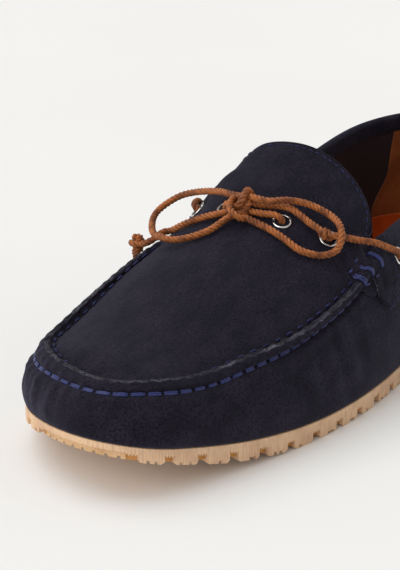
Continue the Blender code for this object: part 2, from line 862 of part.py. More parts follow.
def make_lace_bars(seats, material):
    for side_name, side in (("lateral", 1), ("medial", -1)):
        outer = seats[f"vamp_{side_name}_outer"]
        collar = [seats[f"collar_{side_name}_{n}"] for n in range(1, len(COLLAR_EYELETS) + 1)]
        over_wing = [np.array([side * x, y, z]) for x, y, z in WING_CROSSING[side_name]]
        route = through_eyelet(outer, over_wing[0])[:3] + over_wing
        route += through_eyelet(collar[0], over_wing[-1])[:3][::-1]
        make_cord(f"lace_bar_{side_name}_1", route, material, BAR_STEP)
        for number, (a, b) in enumerate(((1, 2), (3, 4)), 2):
            start, end = COLLAR_EYELETS[a], COLLAR_EYELETS[b]
            mid = [collar_bar_point(side, start, end, u) for u in BAR_SHARES]
            route = through_eyelet(collar[a], mid[0]) + mid + through_eyelet(collar[b], mid[-1])[::-1]
            make_cord(f"lace_bar_{side_name}_{number}", route, material, BAR_STEP)


def collar_bar_point(side, start, end, share):
    """A lace's place over the collar band between two eyelets."""
    first, last = (turn_of(a, SEAM_AT_TOE, TOPLINE_AT_HEEL) for a in (start, end))
    turn = side * (first + (last - first) * share)
    height = band_height(turn, EYELET_DROP)
    return wall(turn, height, GAP + BAND_WALL) + wall_normal(turn, height) * (LACE / 2 + BAR_LIFT)


def bow_place(place):
    """A bow point in shoe millimetres and the direction square to the apron under it."""
    kind, across, along, up = place
    share = np.clip(apron_share(along, across), -APRON_REACH, APRON_REACH)
    normal = apron_normal(along, share)
    if kind == "at":
        return np.array([across, along, up]), normal
    return apron(along, share) + normal * up, normal


def knot_mesh(name, place, size):
    """A closed lump of a knot's outer shape."""
    centre, normal = bow_place(place)
    bm = bmesh.new()
    placed = stand_on(centre, normal) @ Matrix.Diagonal((*(s * MM for s in size), 1))
    bmesh.ops.create_icosphere(bm, subdivisions=2, radius=1, matrix=placed)
    mesh = bpy.data.meshes.new(name)
    bm.to_mesh(mesh)
    bm.free()
    return mesh


def meshed(curve_object):
    """The same cord as a closed mesh, which a Boolean can cut."""
    graph = bpy.context.evaluated_depsgraph_get()
    mesh = bpy.data.meshes.new_from_object(curve_object.evaluated_get(graph))
    bm = bmesh.new()
    bm.from_mesh(mesh)
    bmesh.ops.remove_doubles(bm, verts=bm.verts, dist=0.00001)
    bm.to_mesh(mesh)
    bm.free()
    name = curve_object.name
    placed = curve_object.matrix_world.copy()
    bpy.data.objects.remove(curve_object, do_unlink=True)
    obj = bpy.data.objects.new(name, mesh)
    obj.matrix_world = placed
    bpy.data.collections[PARTS].objects.link(obj)
    return obj


def make_bow(material):
    rooms = {}
    for name, place, size in [("bow_knot", KNOT, KNOT_SIZE)] + [
        (name, place, END_KNOT_SIZE) for name, place in END_KNOTS.items()
    ]:
        knot = add_object(name, knot_mesh(name, place, size), material)
        knot.data.shade_smooth()
        room = tuple(s * KNOT_ROOM + KNOT_ROOM_MORE for s in size)
        rooms[name] = add_cutter(f"{name}_room", knot_mesh(f"{name}_room", place, room))
    for name, places in BOW.items():
        route = [bow_place(place)[0] for place in places]
        step = STUB_STEP if "stub" in name else LACE_STEP
        cord = meshed(make_cord(name, route, material, step))
        boolean(cord, rooms["bow_knot"], "DIFFERENCE")
        end_room = rooms.get(name.replace("bow_end", "end_knot"))
        if end_room:
            boolean(cord, end_room, "DIFFERENCE")


def build():
    clear_scene()
    suede = finish("navy_suede", 0.021, 0.019, 0.028, 0.95)
    gum = finish("gum_rubber", 0.47, 0.27, 0.14, 0.6)
    lining = finish("tan_lining", 0.29, 0.09, 0.03, 0.7)
    steel = finish("nickel", 0.75, 0.75, 0.76, 0.25, 1.0)
    lace = finish("tan_lace", 0.43, 0.14, 0.04, 0.65)
    seats = eyelet_seats()
    holes = eyelet_holes(seats)
    make_outsole(gum)
    make_insole(lining)
    make_upper(suede, holes)
    make_collar_band(suede, holes)
    make_tongue(suede)
    make_eyelets(seats, steel)
    make_lace_bars(seats, lace)
    make_bow(lace)


build()
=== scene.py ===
"""Left driving moccasin in navy suede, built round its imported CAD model.

Shape sizes are in millimetres until a mesh is made. Along is measured from the toe tip, across
from the shoe's axis, with the wearer's outer (lateral) side positive. Turn runs round the shoe
from 0 at the toe to pi at the heel, positive on the lateral side and negative on the medial.
"""

import math

import bmesh
import bpy
import numpy as np
from bpy.props import FloatProperty, FloatVectorProperty, PointerProperty
from mathutils import Matrix, Vector


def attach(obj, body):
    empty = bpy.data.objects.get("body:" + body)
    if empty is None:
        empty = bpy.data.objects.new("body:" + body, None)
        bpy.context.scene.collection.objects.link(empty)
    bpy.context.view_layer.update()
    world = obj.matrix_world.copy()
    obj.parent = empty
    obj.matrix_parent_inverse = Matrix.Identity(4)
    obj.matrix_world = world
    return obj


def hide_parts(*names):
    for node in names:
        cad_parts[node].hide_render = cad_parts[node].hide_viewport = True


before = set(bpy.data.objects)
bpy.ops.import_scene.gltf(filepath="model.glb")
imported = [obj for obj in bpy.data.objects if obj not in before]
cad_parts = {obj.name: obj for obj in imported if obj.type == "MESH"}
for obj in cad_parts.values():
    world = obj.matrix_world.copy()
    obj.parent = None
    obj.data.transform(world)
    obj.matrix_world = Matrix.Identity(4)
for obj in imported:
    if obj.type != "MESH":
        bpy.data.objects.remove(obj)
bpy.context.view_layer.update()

bl_info = {
    "name": "Driving moccasin",
    "version": (1, 0, 0),
    "blender": (4, 5, 0),
    "location": "View3D > Sidebar > Moccasin",
    "description": "Builds a suede driving moccasin with a twisted lace and a cleated sole",
    "category": "Add Mesh",
}

MM = 0.001
UP = np.array([0.0, 0.0, 1.0])
SIDES = {"lateral": 1, "medial": -1}
NUDGE = 0.01  # step of a turn or a height for a direction
LACE_STEP = 0.5  # between the rings of a twisted lace
WALK_STEPS = 2881

# ---------------------------------------------------------------- sizes shared with the CAD
LENGTH = 291.0
CENTRE_ACROSS = 0.35
CENTRE_ALONG = 147.25
GAP = 0.3
UPPER_WALL = 2.2
BAND_WALL = 1.4
INSOLE_THICK = 3.0
INSOLE_INSET = 1.7
SOLE_HEIGHT = 7.5
TOE_RISE = 15.7
TOE_RISE_FROM = 100.0
TREAD_RISE = 18.2
TREAD_RISE_FROM = 80.0
HEEL_RISE = 1.6
HEEL_RISE_FROM = 262.0
ARCH_RISE = 2.4
ARCH_MIDDLE = 172.0
ARCH_REACH = 42.0
LUG_PITCH = 14.3
LUG_HEIGHT = 3.6
LUG_DEPTH = 13.0
TOE_LUG_LOSS = 2.0
TOE_LUG_REACH = 40.0
FIRST_LATERAL_GAP = 20.8
FIRST_MEDIAL_GAP = -22.0
STUD_RADIUS = 4.2
STUD_PITCH = 17.0
STUD_FIRST = 34.0
STUD_LAST = 268.0
SEAM_AT_TOE = 12.5
TOPLINE_AT_HEEL = 287.0
RIDGE = 2.4
RIDGE_FADE = 30.0
RIDGE_END = 149.0
THROAT = 149.75
TONGUE_END = 163.5
TONGUE_SIDE_CUT = 7.0
TONGUE_INSET = 3.7
TUCK_POWER = 6
COLLAR_BAND_DEPTH = 22.0
EYELET_DROP = 7.6


def columns(names, rows):
    """A table as a dictionary of its named columns."""
    return dict(zip(names.split(), np.array(rows, float).T))


FEATHER = columns(
    "along lateral medial",
    [
        (0, 7, 7), (5, 22, -12), (16, 31, -29), (30, 36, -41), (46, 41, -48), (75, 47.8, -50.5),
        (110, 51.8, -50.5), (138, 50.6, -46), (165, 46.5, -39.5), (205, 38.5, -37),
        (240, 35, -35.5), (268, 30.5, -30), (284, 19, -18), (291, 1, 1),
    ],
)

TOP_EDGE = columns(
    "along lateral lateral_up medial medial_up",
    [
        (12.5, 6, 40, 6, 40), (20, 20.5, 39.7, -19.5, 39.5), (36, 29.5, 38.2, -36.5, 38.6),
        (50, 33, 37.6, -40, 40.2), (65, 36.2, 38.6, -41.3, 44), (85, 40.2, 40.2, -42, 48.6),
        (110, 41.8, 44.2, -42.6, 52.8), (135, 40.6, 50, -41.5, 56.4), (160, 36.6, 58, -39.2, 60.5),
        (182, 32, 58.6, -37.8, 62), (205, 29.6, 61, -36.8, 65), (225, 28.6, 65, -35.6, 69.2),
        (250, 26.6, 71, -32.4, 74.4), (272, 19.5, 76, -22.4, 77.6), (287, 1, 79, 1, 79),
    ],
)

APRON = columns(
    "along crest crest_up lateral_fall medial_fall shoulder",
    [
        (12.5, 5, 40, 2, 2, 1), (30, -4, 42, 2, 2, 1), (50, -4, 45.2, 2, 2, 1),
        (70, -4, 50.5, 2, 2.1, 0.98), (92, -5, 58.5, 2, 2.2, 0.95), (106, -6, 63, 1.95, 2.3, 0.9),
        (124, -8, 71, 1.85, 2.4, 0.76), (137, -9, 77, 1.8, 2.4, 0.66),
        (149, -8, 83, 1.8, 2.4, 0.6), (158, -7, 88, 1.8, 2.4, 0.57), (168, -6, 93, 1.8, 2.4, 0.56),
    ],
)

WALL_SWELL = columns(
    "along swell", [(0, 3.9), (60, 3.9), (110, 3.4), (170, 4.6), (240, 5.2), (291, 5.6)]
)

VAMP_EYELETS = [
    ("lateral_inner", 9.4, 126.3),
    ("lateral_outer", 26.8, 132.9),
    ("medial_inner", -15.6, 124.1),
    ("medial_outer", -34.2, 131.0),
]
COLLAR_EYELETS = (163.5, 190, 229, 251, 283.5)
WING_CROSSING = {
    "lateral": [(34.4, 140, 63.0), (39.8, 148, 60.4), (42.3, 157, 55.7)],
    "medial": [(39.3, 137.5, 66.6), (43.9, 146.5, 62.6), (45.9, 157, 57.4)],
}

# ---------------------------------------------------------------- the bow
# Places are across and along, then the lift square to the apron, or over FREE_HEIGHT the height.
FREE_HEIGHT = 50
LATERAL_BOW = [
    (9.4, 126.3, -1.0), (9.5, 126.3, 0.8), (8.6, 126.0, 2.4), (6.2, 125.3, 3.1), (2.6, 124.0, 2.6),
    (-1.5, 123.2, 2.4), (-6.2, 122.4, 2.8), (-9.6, 123.0, 3.6), (-10.4, 124.6, 5.2),
    (-8.6, 125.9, 6.4), (-5.4, 126.0, 7.0), (-2.2, 125.9, 7.2), (2.8, 127.0, 6.8),
    (7.9, 131.0, 6.8), (12.8, 135.6, 4.8), (17.9, 138.3, 3.2), (23.4, 138.6, 4.2),
    (27.1, 136.6, 6.6), (29.7, 133.2, 8.0), (31.0, 130.6, 6.4), (31.3, 128.6, 4.2),
    (29.7, 125.3, 2.4), (27.1, 122.0, 2.1), (22.1, 118.9, 2.1), (18.6, 118.6, 2.1),
    (11.3, 119.0, 2.1), (5.5, 119.0, 2.2), (-0.5, 119.1, 2.5), (-5.6, 119.4, 3.0),
    (-9.2, 120.6, 3.4), (-10.0, 122.6, 3.9), (-8.4, 124.6, 4.2), (-5.4, 125.8, 3.9),
    (-2.2, 126.3, 3.4), (1.8, 128.2, 2.7), (5.4, 130.2, 2.8), (10.3, 131.8, 2.9),
    (18.1, 131.2, 2.5), (22.0, 130.8, 3.6), (25.0, 130.1, 4.6),
]
MEDIAL_BOW = [
    (-15.6, 124.1, -1.0), (-15.5, 124.1, 1.0), (-14.4, 123.8, 2.9), (-12.2, 123.1, 3.9),
    (-9.2, 122.0, 4.5), (-5.4, 121.6, 4.8), (-3.4, 123.2, 5.2), (-4.6, 125.2, 5.4),
    (-8.4, 126.2, 5.6), (-12.5, 126.4, 5.6), (-19.3, 128.2, 5.2), (-30.0, 128.3, 74.5),
    (-39.6, 128.4, 71.5), (-44.9, 124.5, 68), (-45.8, 117.4, 65), (-42.0, 109.8, 63),
    (-36.3, 103.3, 62), (-30.8, 100.8, 62), (-23.7, 102.0, 3.0), (-18.4, 104.6, 2.2),
    (-12.8, 109.5, 2.2), (-10.6, 113.5, 2.6), (-8.0, 117.2, 3.4), (-4.8, 119.4, 3.9),
    (-3.4, 121.4, 4.1), (-5.6, 122.4, 3.6), (-9.2, 121.2, 3.0), (-13.2, 119.2, 2.6),
    (-20.8, 116.9, 2.1), (-28.6, 115.1, 2.1), (-34.9, 114.6, 2.2), (-37.9, 112.2, 60.2),
    (-40.2, 109.0, 57.6), (-43.2, 107.4, 55.6), (-46.6, 107.6, 54.4),
]
# Two wraps that show on the knot: one stands up behind and folds over, one curls round its front.
KNOT_WRAPS = [
    [
        (-6.8, 129.1, 3.3), (-5.5, 128.3, 6.4), (-5.8, 127.0, 8.6), (-5.1, 123.8, 8.9),
        (-5.1, 121.7, 8.2), (-6.2, 120.8, 6.0), (-8.8, 121.9, 2.9),
    ],
    [
        (-9.1, 127.7, 3.4), (-9.5, 125.7, 5.3), (-10.2, 123.1, 6.4), (-9.3, 119.9, 6.4),
        (-6.9, 117.5, 6.0), (-4.5, 116.8, 5.0), (-3.0, 117.6, 3.5), (-2.5, 120.1, 2.0),
    ],
]
END_KNOTS = {"lateral": (25.6, 130.0, 5.0), "medial": (-48.6, 108.4, 54.0)}
KNOT_TIES = {"lateral": ((0.86, 0.4, -0.3), 0.66), "medial": ((-0.25, -0.2, -0.95), 1.05)}

# ---------------------------------------------------------------- sizes of the looks
WRAP_TURNS = 1.75  # of an end knot round the lace
FRAYED_FIBRES = 9
LIP_WIDTH = 3.3  # the moc seam's standing lip, both leathers together
LIP_HEIGHT = 2.6  # above the apron on the medial side near the toe
RAW_SEAM_END = 131.0  # the lip's raw edge stops here, in front of the wings
SEAM_STITCH_DROP = 4.5  # of the moc seam's stitches under the lip's top edge
WAVE_DEPTH = 0.42  # how far each stitch pulls the lip's raw top down
WING_FRONT = 129.5
ROLL_RADIUS = 2.9  # of the wing, where it wraps the end of the moc seam
ROLL_HEIGHT = 2.3  # of the roll's crown over the seam
WING_REAR = 159.4
SIDE_SEAM = 167.0  # where the front and rear panels of the wall meet
TONGUE_EDGE = 0.97  # share of the apron's half width that the tongue keeps
TUCK_START = 138.0  # the tongue's flanks tuck inside the collar from here
LEAN_MOST = 2.2  # of the lip, outward over the wall
LIP_TILT = 0.32  # rise of the lip's raw top where it leans the most
BINDING = 6.5  # of the collar's casing down the inside
HEEL_LINING = 271.0  # its front edges
SKIRT_INSET = 1.9  # depth of the gaps between the edge lugs
AMBER_DROP = 2.5  # of the amber field under the gaps' roofs
TREAD_DROP = 0.55  # of the lugs at the toe, under the tread's line
SPINE_FRONT = 42.0  # the apron's halves meet along a line between these
SPINE_REAR = 137.0
RIM_DROP = 0.3  # of the sole's upper rim under the line where it meets the upper
TOE_TOOTH = 1.3  # width of a tooth on the toe bumper
CAMERA_PLACE = (0.36745, -0.57885, 0.2755)
CAMERA_ANGLES = (36.811, 19.209, 0.378)  # round the shoe, down on it and roll, in degrees
CAMERA_SHIFT = (0.096, -0.0104)

WING_DROP = columns(  # how far the wing's lower edge hangs below the seam
    "along drop",
    [
        (129.5, 0.6), (132.2, 3.2), (135, 6.6), (138, 9), (141, 10), (146, 10.8), (152, 11.6),
        (156.5, 12.7), (158.4, 12.2), (159.1, 10.8), (159.4, 8.6),
    ],
)
CASING_DEPTH = columns(  # of the collar's casing, shallow at its front corners
    "along depth", [(139.5, 9), (143.5, 15), (147.5, 19.5), (152.5, COLLAR_BAND_DEPTH)]
)
# The apron's edge, row by row: inset and rise at the moc seam, then at the tongue.
APRON_EDGE = [
    (1.17, 0.02, 0, -1.2), (1.27, 0.12, 0, -0.7), (1.7, 0.2, 0.12, -0.3),
    (2.15, 0.06, 0.35, -0.1), (2.5, -0.45, 0.7, -0.02),
]
# Whip stitches on a wing, as along and place across it: curved by three points, or straight.
WHIP_WRAPS = [
    ((132.4, 2.8), (132.9, 4.15), (135.0, 5.95)),
    ((136.6, 2.7), (138.9, 4.3), (142.2, 6.3)),
    ((146.6, 2.8), (147.1, 4.8), (148.1, 6.2)),
]
WHIP_RUNS = [
    ((131.4, 2.5), (132.9, 2.5)), ((135.7, 2.4), (137.5, 2.4)),
    ((135.3, 6.0), (138.5, 6.4)), ((142.1, 6.4), (144.6, 6.4)),
]

# Soft creases in the side wall: distance round the sole edge from the toe tip, height on the
# wall, half length in wall heights, depth and half width in millimetres, and lean.
CREASES = [
    (-11, 0.56, 0.30, 0.42, 2.8, 2.0), (-21, 0.50, 0.36, 0.62, 2.9, 1.0),
    (-33, 0.60, 0.30, 0.50, 3.3, -2.0), (-42, 0.48, 0.34, 0.36, 2.8, -1.0),
    (-56, 0.50, 0.30, 0.35, 3.6, -3.0), (-1, 0.62, 0.26, 0.30, 2.8, 3.0),
    (14, 0.60, 0.28, 0.34, 2.8, 3.0), (33, 0.64, 0.26, 0.30, 3.0, 2.0),
    (92, 0.62, 0.26, 0.40, 4.2, -5.0), (108, 0.52, 0.34, 0.60, 4.0, -6.0),
    (121, 0.46, 0.36, 0.55, 3.8, -7.0), (134, 0.50, 0.30, 0.45, 4.4, -5.0),
    (-96, 0.58, 0.30, 0.50, 4.2, 5.0), (-112, 0.50, 0.34, 0.60, 4.0, 6.0),
    (-127, 0.54, 0.30, 0.45, 4.2, 4.0), (206, 0.46, 0.30, 0.35, 5.0, 0.0),
    (-206, 0.46, 0.30, 0.35, 5.0, 0.0), (262, 0.44, 0.32, 0.40, 5.0, 3.0),
    (-262, 0.44, 0.32, 0.40, 5.0, -3.0),
]


# ---------------------------------------------------------------- curves and surfaces
def loop_spline(turn, value):
    """A smooth closed curve through the values, one lap of 2 pi, as a function of turn."""
    turn = np.append(turn, turn[0] + 2 * math.pi)
    value = np.append(value, value[0])
    step = np.diff(turn)
    slope = np.diff(value) / step
    count = len(step)
    grid = np.zeros((count, count))
    for i in range(count):
        grid[i, i - 1] += step[i - 1]
        grid[i, i] += 2 * (step[i - 1] + step[i])
        grid[i, (i + 1) % count] += step[i]
    bend = np.linalg.solve(grid, 6 * (slope - np.roll(slope, 1)))
    bend = np.append(bend, bend[0])

    def read(at):
        at = (np.asarray(at, float) - turn[0]) % (2 * math.pi) + turn[0]
        i = np.clip(np.searchsorted(turn, at, side="right") - 1, 0, count - 1)
        ahead, behind = turn[i + 1] - at, at - turn[i]
        cubic = (bend[i] * ahead**3 + bend[i + 1] * behind**3) / (6 * step[i])
        line = (value[i] * ahead + value[i + 1] * behind) / step[i]
        return cubic + line - step[i] / 6 * (bend[i] * ahead + bend[i + 1] * behind)

    return read


def walked_along(path):
    """Distance from a path's start to each of its points."""
    return np.concatenate([[0], np.cumsum(np.linalg.norm(np.diff(path, axis=0), axis=1))])


def turn_of(along, first=SEAM_AT_TOE, last=TOPLINE_AT_HEEL):
    """Turn at a distance from the toe tip, on the moc seam and topline or the line given."""
    return np.arccos(np.clip(1 - 2 * (along - first) / (last - first), -1, 1))


def along_of(turn, first=SEAM_AT_TOE, last=TOPLINE_AT_HEEL):
    """Distance from the toe tip at a turn."""
    return first + (last - first) * (1 - np.cos(turn)) / 2


def two_sided(table, lateral, medial, first, last):
    """One closed curve round the shoe from a lateral and a medial column."""
    turn = turn_of(table["along"], first, last)
    turns = np.concatenate([-turn[1:-1][::-1], turn])
    values = np.concatenate([table[medial][1:-1][::-1], table[lateral]])
    return loop_spline(turns, values)


def smooth(table, column):
    """A column read between its rows without corners."""
    x, y = table["along"], table[column]
    tilt = np.gradient(y, x)

    def read(at):
        at = np.clip(at, x[0], x[-1])
        i = np.clip(np.searchsorted(x, at) - 1, 0, len(x) - 2)
        h = x[i + 1] - x[i]
        t = (at - x[i]) / h
        keep = (1 + 2 * t) * (1 - t) ** 2 * y[i] + t**2 * (3 - 2 * t) * y[i + 1]
        return keep + h * t * (1 - t) * ((1 - t) * tilt[i] - t * tilt[i + 1])

    return read


feather_across = two_sided(FEATHER, "lateral", "medial", 0, LENGTH)
top_across = two_sided(TOP_EDGE, "lateral", "medial", SEAM_AT_TOE, TOPLINE_AT_HEEL)
top_up = two_sided(TOP_EDGE, "lateral_up", "medial_up", SEAM_AT_TOE, TOPLINE_AT_HEEL)
swell_at = smooth(WALL_SWELL, "swell")
crest_across = smooth(APRON, "crest")
crest_up = smooth(APRON, "crest_up")
lateral_fall = smooth(APRON, "lateral_fall")
medial_fall = smooth(APRON, "medial_fall")
shoulder = smooth(APRON, "shoulder")


def unit(vectors):
    """Vectors shortened or stretched to length 1."""
    return vectors / np.maximum(np.linalg.norm(vectors, axis=-1, keepdims=True), 1e-9)


def ease(value, start, end):
    """0 before start, 1 after end, smooth between."""
    t = np.clip((np.asarray(value, float) - start) / (end - start), 0, 1)
    return t * t * (3 - 2 * t)


def bump_at(value, centre, width):
    """A soft bump, 1 at its centre."""
    return np.exp(-(((value - centre) / width) ** 2))


def ramp(along, start, reach, rise, power):
    """A rise that starts at a place and reaches its full height after its reach."""
    return rise * np.clip((along - start) / reach, 0, None) ** power


def feather_height(along):
    """Height of the line where the upper meets the sole."""
    toe = ramp(-along, -TOE_RISE_FROM, TOE_RISE_FROM, TOE_RISE, 2)
    heel = ramp(along, HEEL_RISE_FROM, LENGTH - HEEL_RISE_FROM, HEEL_RISE, 2)
    return SOLE_HEIGHT + toe + heel


def tread_height(along, across):
    """Height of the sole's underside: toe spring, heel spring and arch."""
    toe = ramp(-along, -TREAD_RISE_FROM, TREAD_RISE_FROM, TREAD_RISE, 1.5)
    heel = ramp(along, HEEL_RISE_FROM, LENGTH - HEEL_RISE_FROM, HEEL_RISE, 2)
    arch = np.clip(1 - ((along - ARCH_MIDDLE) / ARCH_REACH) ** 2, 0, None) ** 2
    return toe + heel + ARCH_RISE * arch * np.clip(-across / 30, 0, 1)


def lug_height(along):
    """Height of the edge lugs, less at the toe."""
    return LUG_HEIGHT - TOE_LUG_LOSS * np.clip(1 - along / TOE_LUG_REACH, 0, 1)


def feather(turn):
    """The line where the upper meets the sole, round the sole's outline."""
    along = along_of(turn, 0, LENGTH)
    return np.stack([feather_across(turn), along, feather_height(along)], -1)


def level_square(line, turn, way):
    """Level unit vector square to a line round the shoe: way is 1 outward and -1 inward."""
    run = line(turn + NUDGE) - line(turn - NUDGE)
    return unit(np.stack([way * run[..., 1], -way * run[..., 0], 0 * run[..., 0]], -1))


def outward(turn):
    """Level unit vector away from the shoe at the feather line."""
    return level_square(feather, turn, 1)


def top_edge(turn):
    """The moc seam, then the topline."""
    return np.stack([top_across(turn), along_of(turn), top_up(turn)], -1)


def top_inward(turn):
    """Level unit vector into the shoe, square to the moc seam or topline."""
    return level_square(top_edge, turn, -1)


def wall(turn, height, proud=0.0):
    """Outer face of the side wall; height runs 0 at the sole to 1 at the seam or topline."""
    turn, height, proud = np.broadcast_arrays(turn, height, proud)
    low, high = feather(turn), top_edge(turn)
    swell = swell_at(low[..., 1]) * np.sin(math.pi * np.clip(height, 0, 1) ** 0.9)
    return low + (high - low) * height[..., None] + outward(turn) * (swell + proud)[..., None]


def wall_normal(turn, height):
    """Direction square to the side wall, outward."""
    around = wall(turn + NUDGE, height) - wall(turn - NUDGE, height)
    return unit(np.cross(around, wall(turn, height + NUDGE) - wall(turn, height - NUDGE)))


def wall_rise(turn):
    """Height of the side wall, measured up its slope."""
    return np.linalg.norm(top_edge(turn) - feather(turn), axis=-1)


def seam_ridge(along):
    """How far the moc seam stands over the apron beside it."""
    return RIDGE * np.clip((RIDGE_END - along) / RIDGE_FADE, 0, 1)


def apron(along, share):
    """Outer face of the apron: share runs -1 at the medial seam to 1 at the lateral seam."""
    along, share = np.broadcast_arrays(np.asarray(along, float), np.asarray(share, float))
    turn = turn_of(along)
    lateral = share >= 0
    edge = top_edge(np.where(lateral, turn, -turn))
    foot = edge[..., 2] - seam_ridge(along)
    middle = crest_across(along)
    fall = np.where(lateral, lateral_fall(along), medial_fall(along))
    crown = np.clip(1 - np.abs(share) ** fall, 0, None) ** shoulder(along)
    rise = (crest_up(along) - foot) * crown
    across = middle + (edge[..., 0] - middle) * np.abs(share)
    # The medial flank dips at the eyelets, then swells before the collar and on the tongue.
    hip = 2.6 * bump_at(along, 145, 8) * bump_at(share, -0.76, 0.26)
    hip = hip + 1.8 * ease(along, 150, 158) * bump_at(share, -0.66, 0.28)
    hip = hip - 1.6 * bump_at(along, 125, 9) * bump_at(share, -0.8, 0.22)
    return np.stack([across, along, foot + rise + hip], -1)


def apron_share(along, across):
    """A place's share of the apron's half width, as apron() takes it."""
    turn = turn_of(along)
    middle = crest_across(along)
    lateral = across >= middle
    reach = top_across(np.where(lateral, turn, -turn)) - middle
    return np.where(lateral, 1, -1) * np.abs((across - middle) / reach)


def apron_normal(along, share):
    """Direction square to the apron, upward."""
    over = apron(along, share + 0.02) - apron(along, share - 0.02)
    back = apron(along + 1, share) - apron(along - 1, share)
    return unit(np.cross(over, back))


def apron_height(across, along):
    """Height of the apron and tongue over a place in plan, falling to the seam at the toe."""
    turn = turn_of(along)
    middle = crest_across(along)
    lateral = across >= middle
    reach = np.abs(top_across(np.where(lateral, turn, -turn)) - middle)
    out = np.abs(across - middle)
    tuck = TONGUE_INSET * ease(along, TUCK_START, THROAT)
    share = np.clip(out / reach, 0, 1)
    for _ in range(8):  # Newton's method: the share that the tuck brings to this place
        miss = reach * share - tuck * share**TUCK_POWER - out
        slope = reach - TUCK_POWER * tuck * share ** (TUCK_POWER - 1)
        share = np.clip(share - miss / slope, 0, 1)
    point = apron(along, np.where(lateral, share, -share))
    edge_up = top_up(np.where(lateral, turn, -turn)) - seam_ridge(along)
    keep = ease(along, SEAM_AT_TOE - 6, SEAM_AT_TOE + 18)
    return edge_up + (point[..., 2] - edge_up) * keep


def walk(line):
    """Turns round the shoe, and how far each is along a line from the toe, lateral positive."""
    turns = np.linspace(-math.pi, math.pi, WALK_STEPS)
    walked = walked_along(line(turns))
    return turns, walked - np.interp(0, turns, walked)


SEAM_TURNS, SEAM_WALKED = walk(top_edge)
EDGE_TURNS, EDGE_WALKED = walk(lambda turn: feather(turn)[:, :2])


def ripple(value, seed=0.0):
    """Repeatable uneven wave between about -1 and 1, for hand-worked edges."""
    value = np.asarray(value, float)
    wave = np.sin(value + seed) + 0.7 * np.sin(value * 2.31 + 1.7 * seed + 1)
    return (wave + 0.5 * np.sin(value * 5.17 + 2.9 * seed + 2)) / 2.2


def pulled(walked, pitch):
    """1 at the middle of each of the moc seam's stitches, 0 between them."""
    return 0.5 + 0.5 * np.cos(2 * math.pi * walked / pitch)


def lip_height(turn):
    """How far the lip stands above the apron beside it."""
    along = along_of(turn)
    medial = LIP_HEIGHT - 1.2 * ease(along, 55, 112) - 1.5 * bump_at(turn, -0.48, 0.26)
    lateral = 1.5 - 0.2 * ease(along, 60, 110)
    weight = ease(turn, -0.25, 0.45)
    return medial * (1 - weight) + lateral * weight


def lip_lean(turn):
    """How far the lip leans outward where the apron beside it is steep."""
    along = along_of(turn)
    lateral = LEAN_MOST * ease(along, 35, 100)
    medial = 1.6 * ease(along, 60, 110)
    weight = ease(turn, -0.05, 0.05)
    return (medial * (1 - weight) + lateral * weight) * (1 - ease(along, 131, 137))


def lip_foot(turn):
    """Where the apron leaves the lip: distance inside the seam, and height over its edge."""
    lean = lip_lean(turn)
    steep = np.clip(lean / LEAN_MOST, 0, 1)
    return LIP_WIDTH - 0.95 * lean, 0.3 * steep - lip_height(turn) * (1 - steep)


def seam_fade(along):
    """1 where the moc seam stands up, 0 behind the wings' front."""
    return 1 - ease(along, RAW_SEAM_END - 2, RAW_SEAM_END + 8)


def stitch_drop(turn):
    """Distance of the moc seam's stitches below the lip's top edge."""
    front = 0.7 * bump_at(turn, 0.1, 0.45) + 0.8 * ease(turn, 0.6, 1.3)
    return SEAM_STITCH_DROP - front + 1.3 * bump_at(turn, -0.62, 0.35)


def wall_relief(turn, height, pitch):
    """Pulled stitches, pleats, creases and panel seams, as an outward shift in millimetres."""
    along = along_of(turn)
    drop = (1 - height) * wall_rise(turn)
    walked = np.interp(turn, SEAM_TURNS, SEAM_WALKED)
    round_sole = np.interp(turn, EDGE_TURNS, EDGE_WALKED)
    seam = seam_fade(along)
    at_stitch = pulled(walked, pitch)
    sewn = stitch_drop(turn)
    valley = -1.5 * bump_at(drop, sewn, 1.0) * (0.65 + 0.35 * at_stitch)
    lip = 0.85 * bump_at(drop, 1.9, 1.3) * (1 - 0.6 * at_stitch)
    lip = lip + 0.6 * bump_at(drop, sewn + 2.6, 1.8)
    below = np.clip(drop - sewn, 0, None)
    toe = 0.35 + 0.4 * bump_at(walked, 0, 75) + 0.75 * bump_at(walked, -32, 24)
    pleat = 0.52 * toe * (0.5 - at_stitch) * np.exp(-below / 7.5) * ease(below, 0, 2.0)
    relief = seam * (valley + lip + pleat) + lip_lean(turn) * np.exp(-((drop / 3.0) ** 2))
    for place, middle, reach, depth, width, lean in CREASES:
        off = round_sole - place - lean * (height - middle) * 2
        strength = np.exp(-(((height - middle) / reach) ** 4))
        trough = bump_at(off, 0, width) - 0.45 * bump_at(off, 1.9 * width, 1.3 * width)
        relief = relief - depth * strength * trough
    low_along = along_of(turn, 0, LENGTH)
    step = 0.35 * (ease(low_along, SIDE_SEAM - 0.6, SIDE_SEAM + 0.6) - 1)
    fade = ease(np.abs(turn), 0.6, 1.2)
    relief = relief - 0.35 * bump_at(low_along, SIDE_SEAM, 0.9) + step * fade * 0.8
    roll = 0.25 * np.exp(-((height / 0.05) ** 2))
    slack = 0.25 * ripple(round_sole * 0.055 + 3 * height, 0.7)
    return relief - roll + slack * np.sin(math.pi * np.clip(height, 0, 1))


# ---------------------------------------------------------------- meshes
def row_frame(points):
    """From shoe millimetres to the model's metres."""
    return (np.asarray(points, float) - (CENTRE_ACROSS, CENTRE_ALONG, 0)) * MM


def link(name, data):
    """A new object in the scene, at the origin."""
    obj = bpy.data.objects.new(name, data)
    bpy.context.scene.collection.objects.link(obj)
    return obj


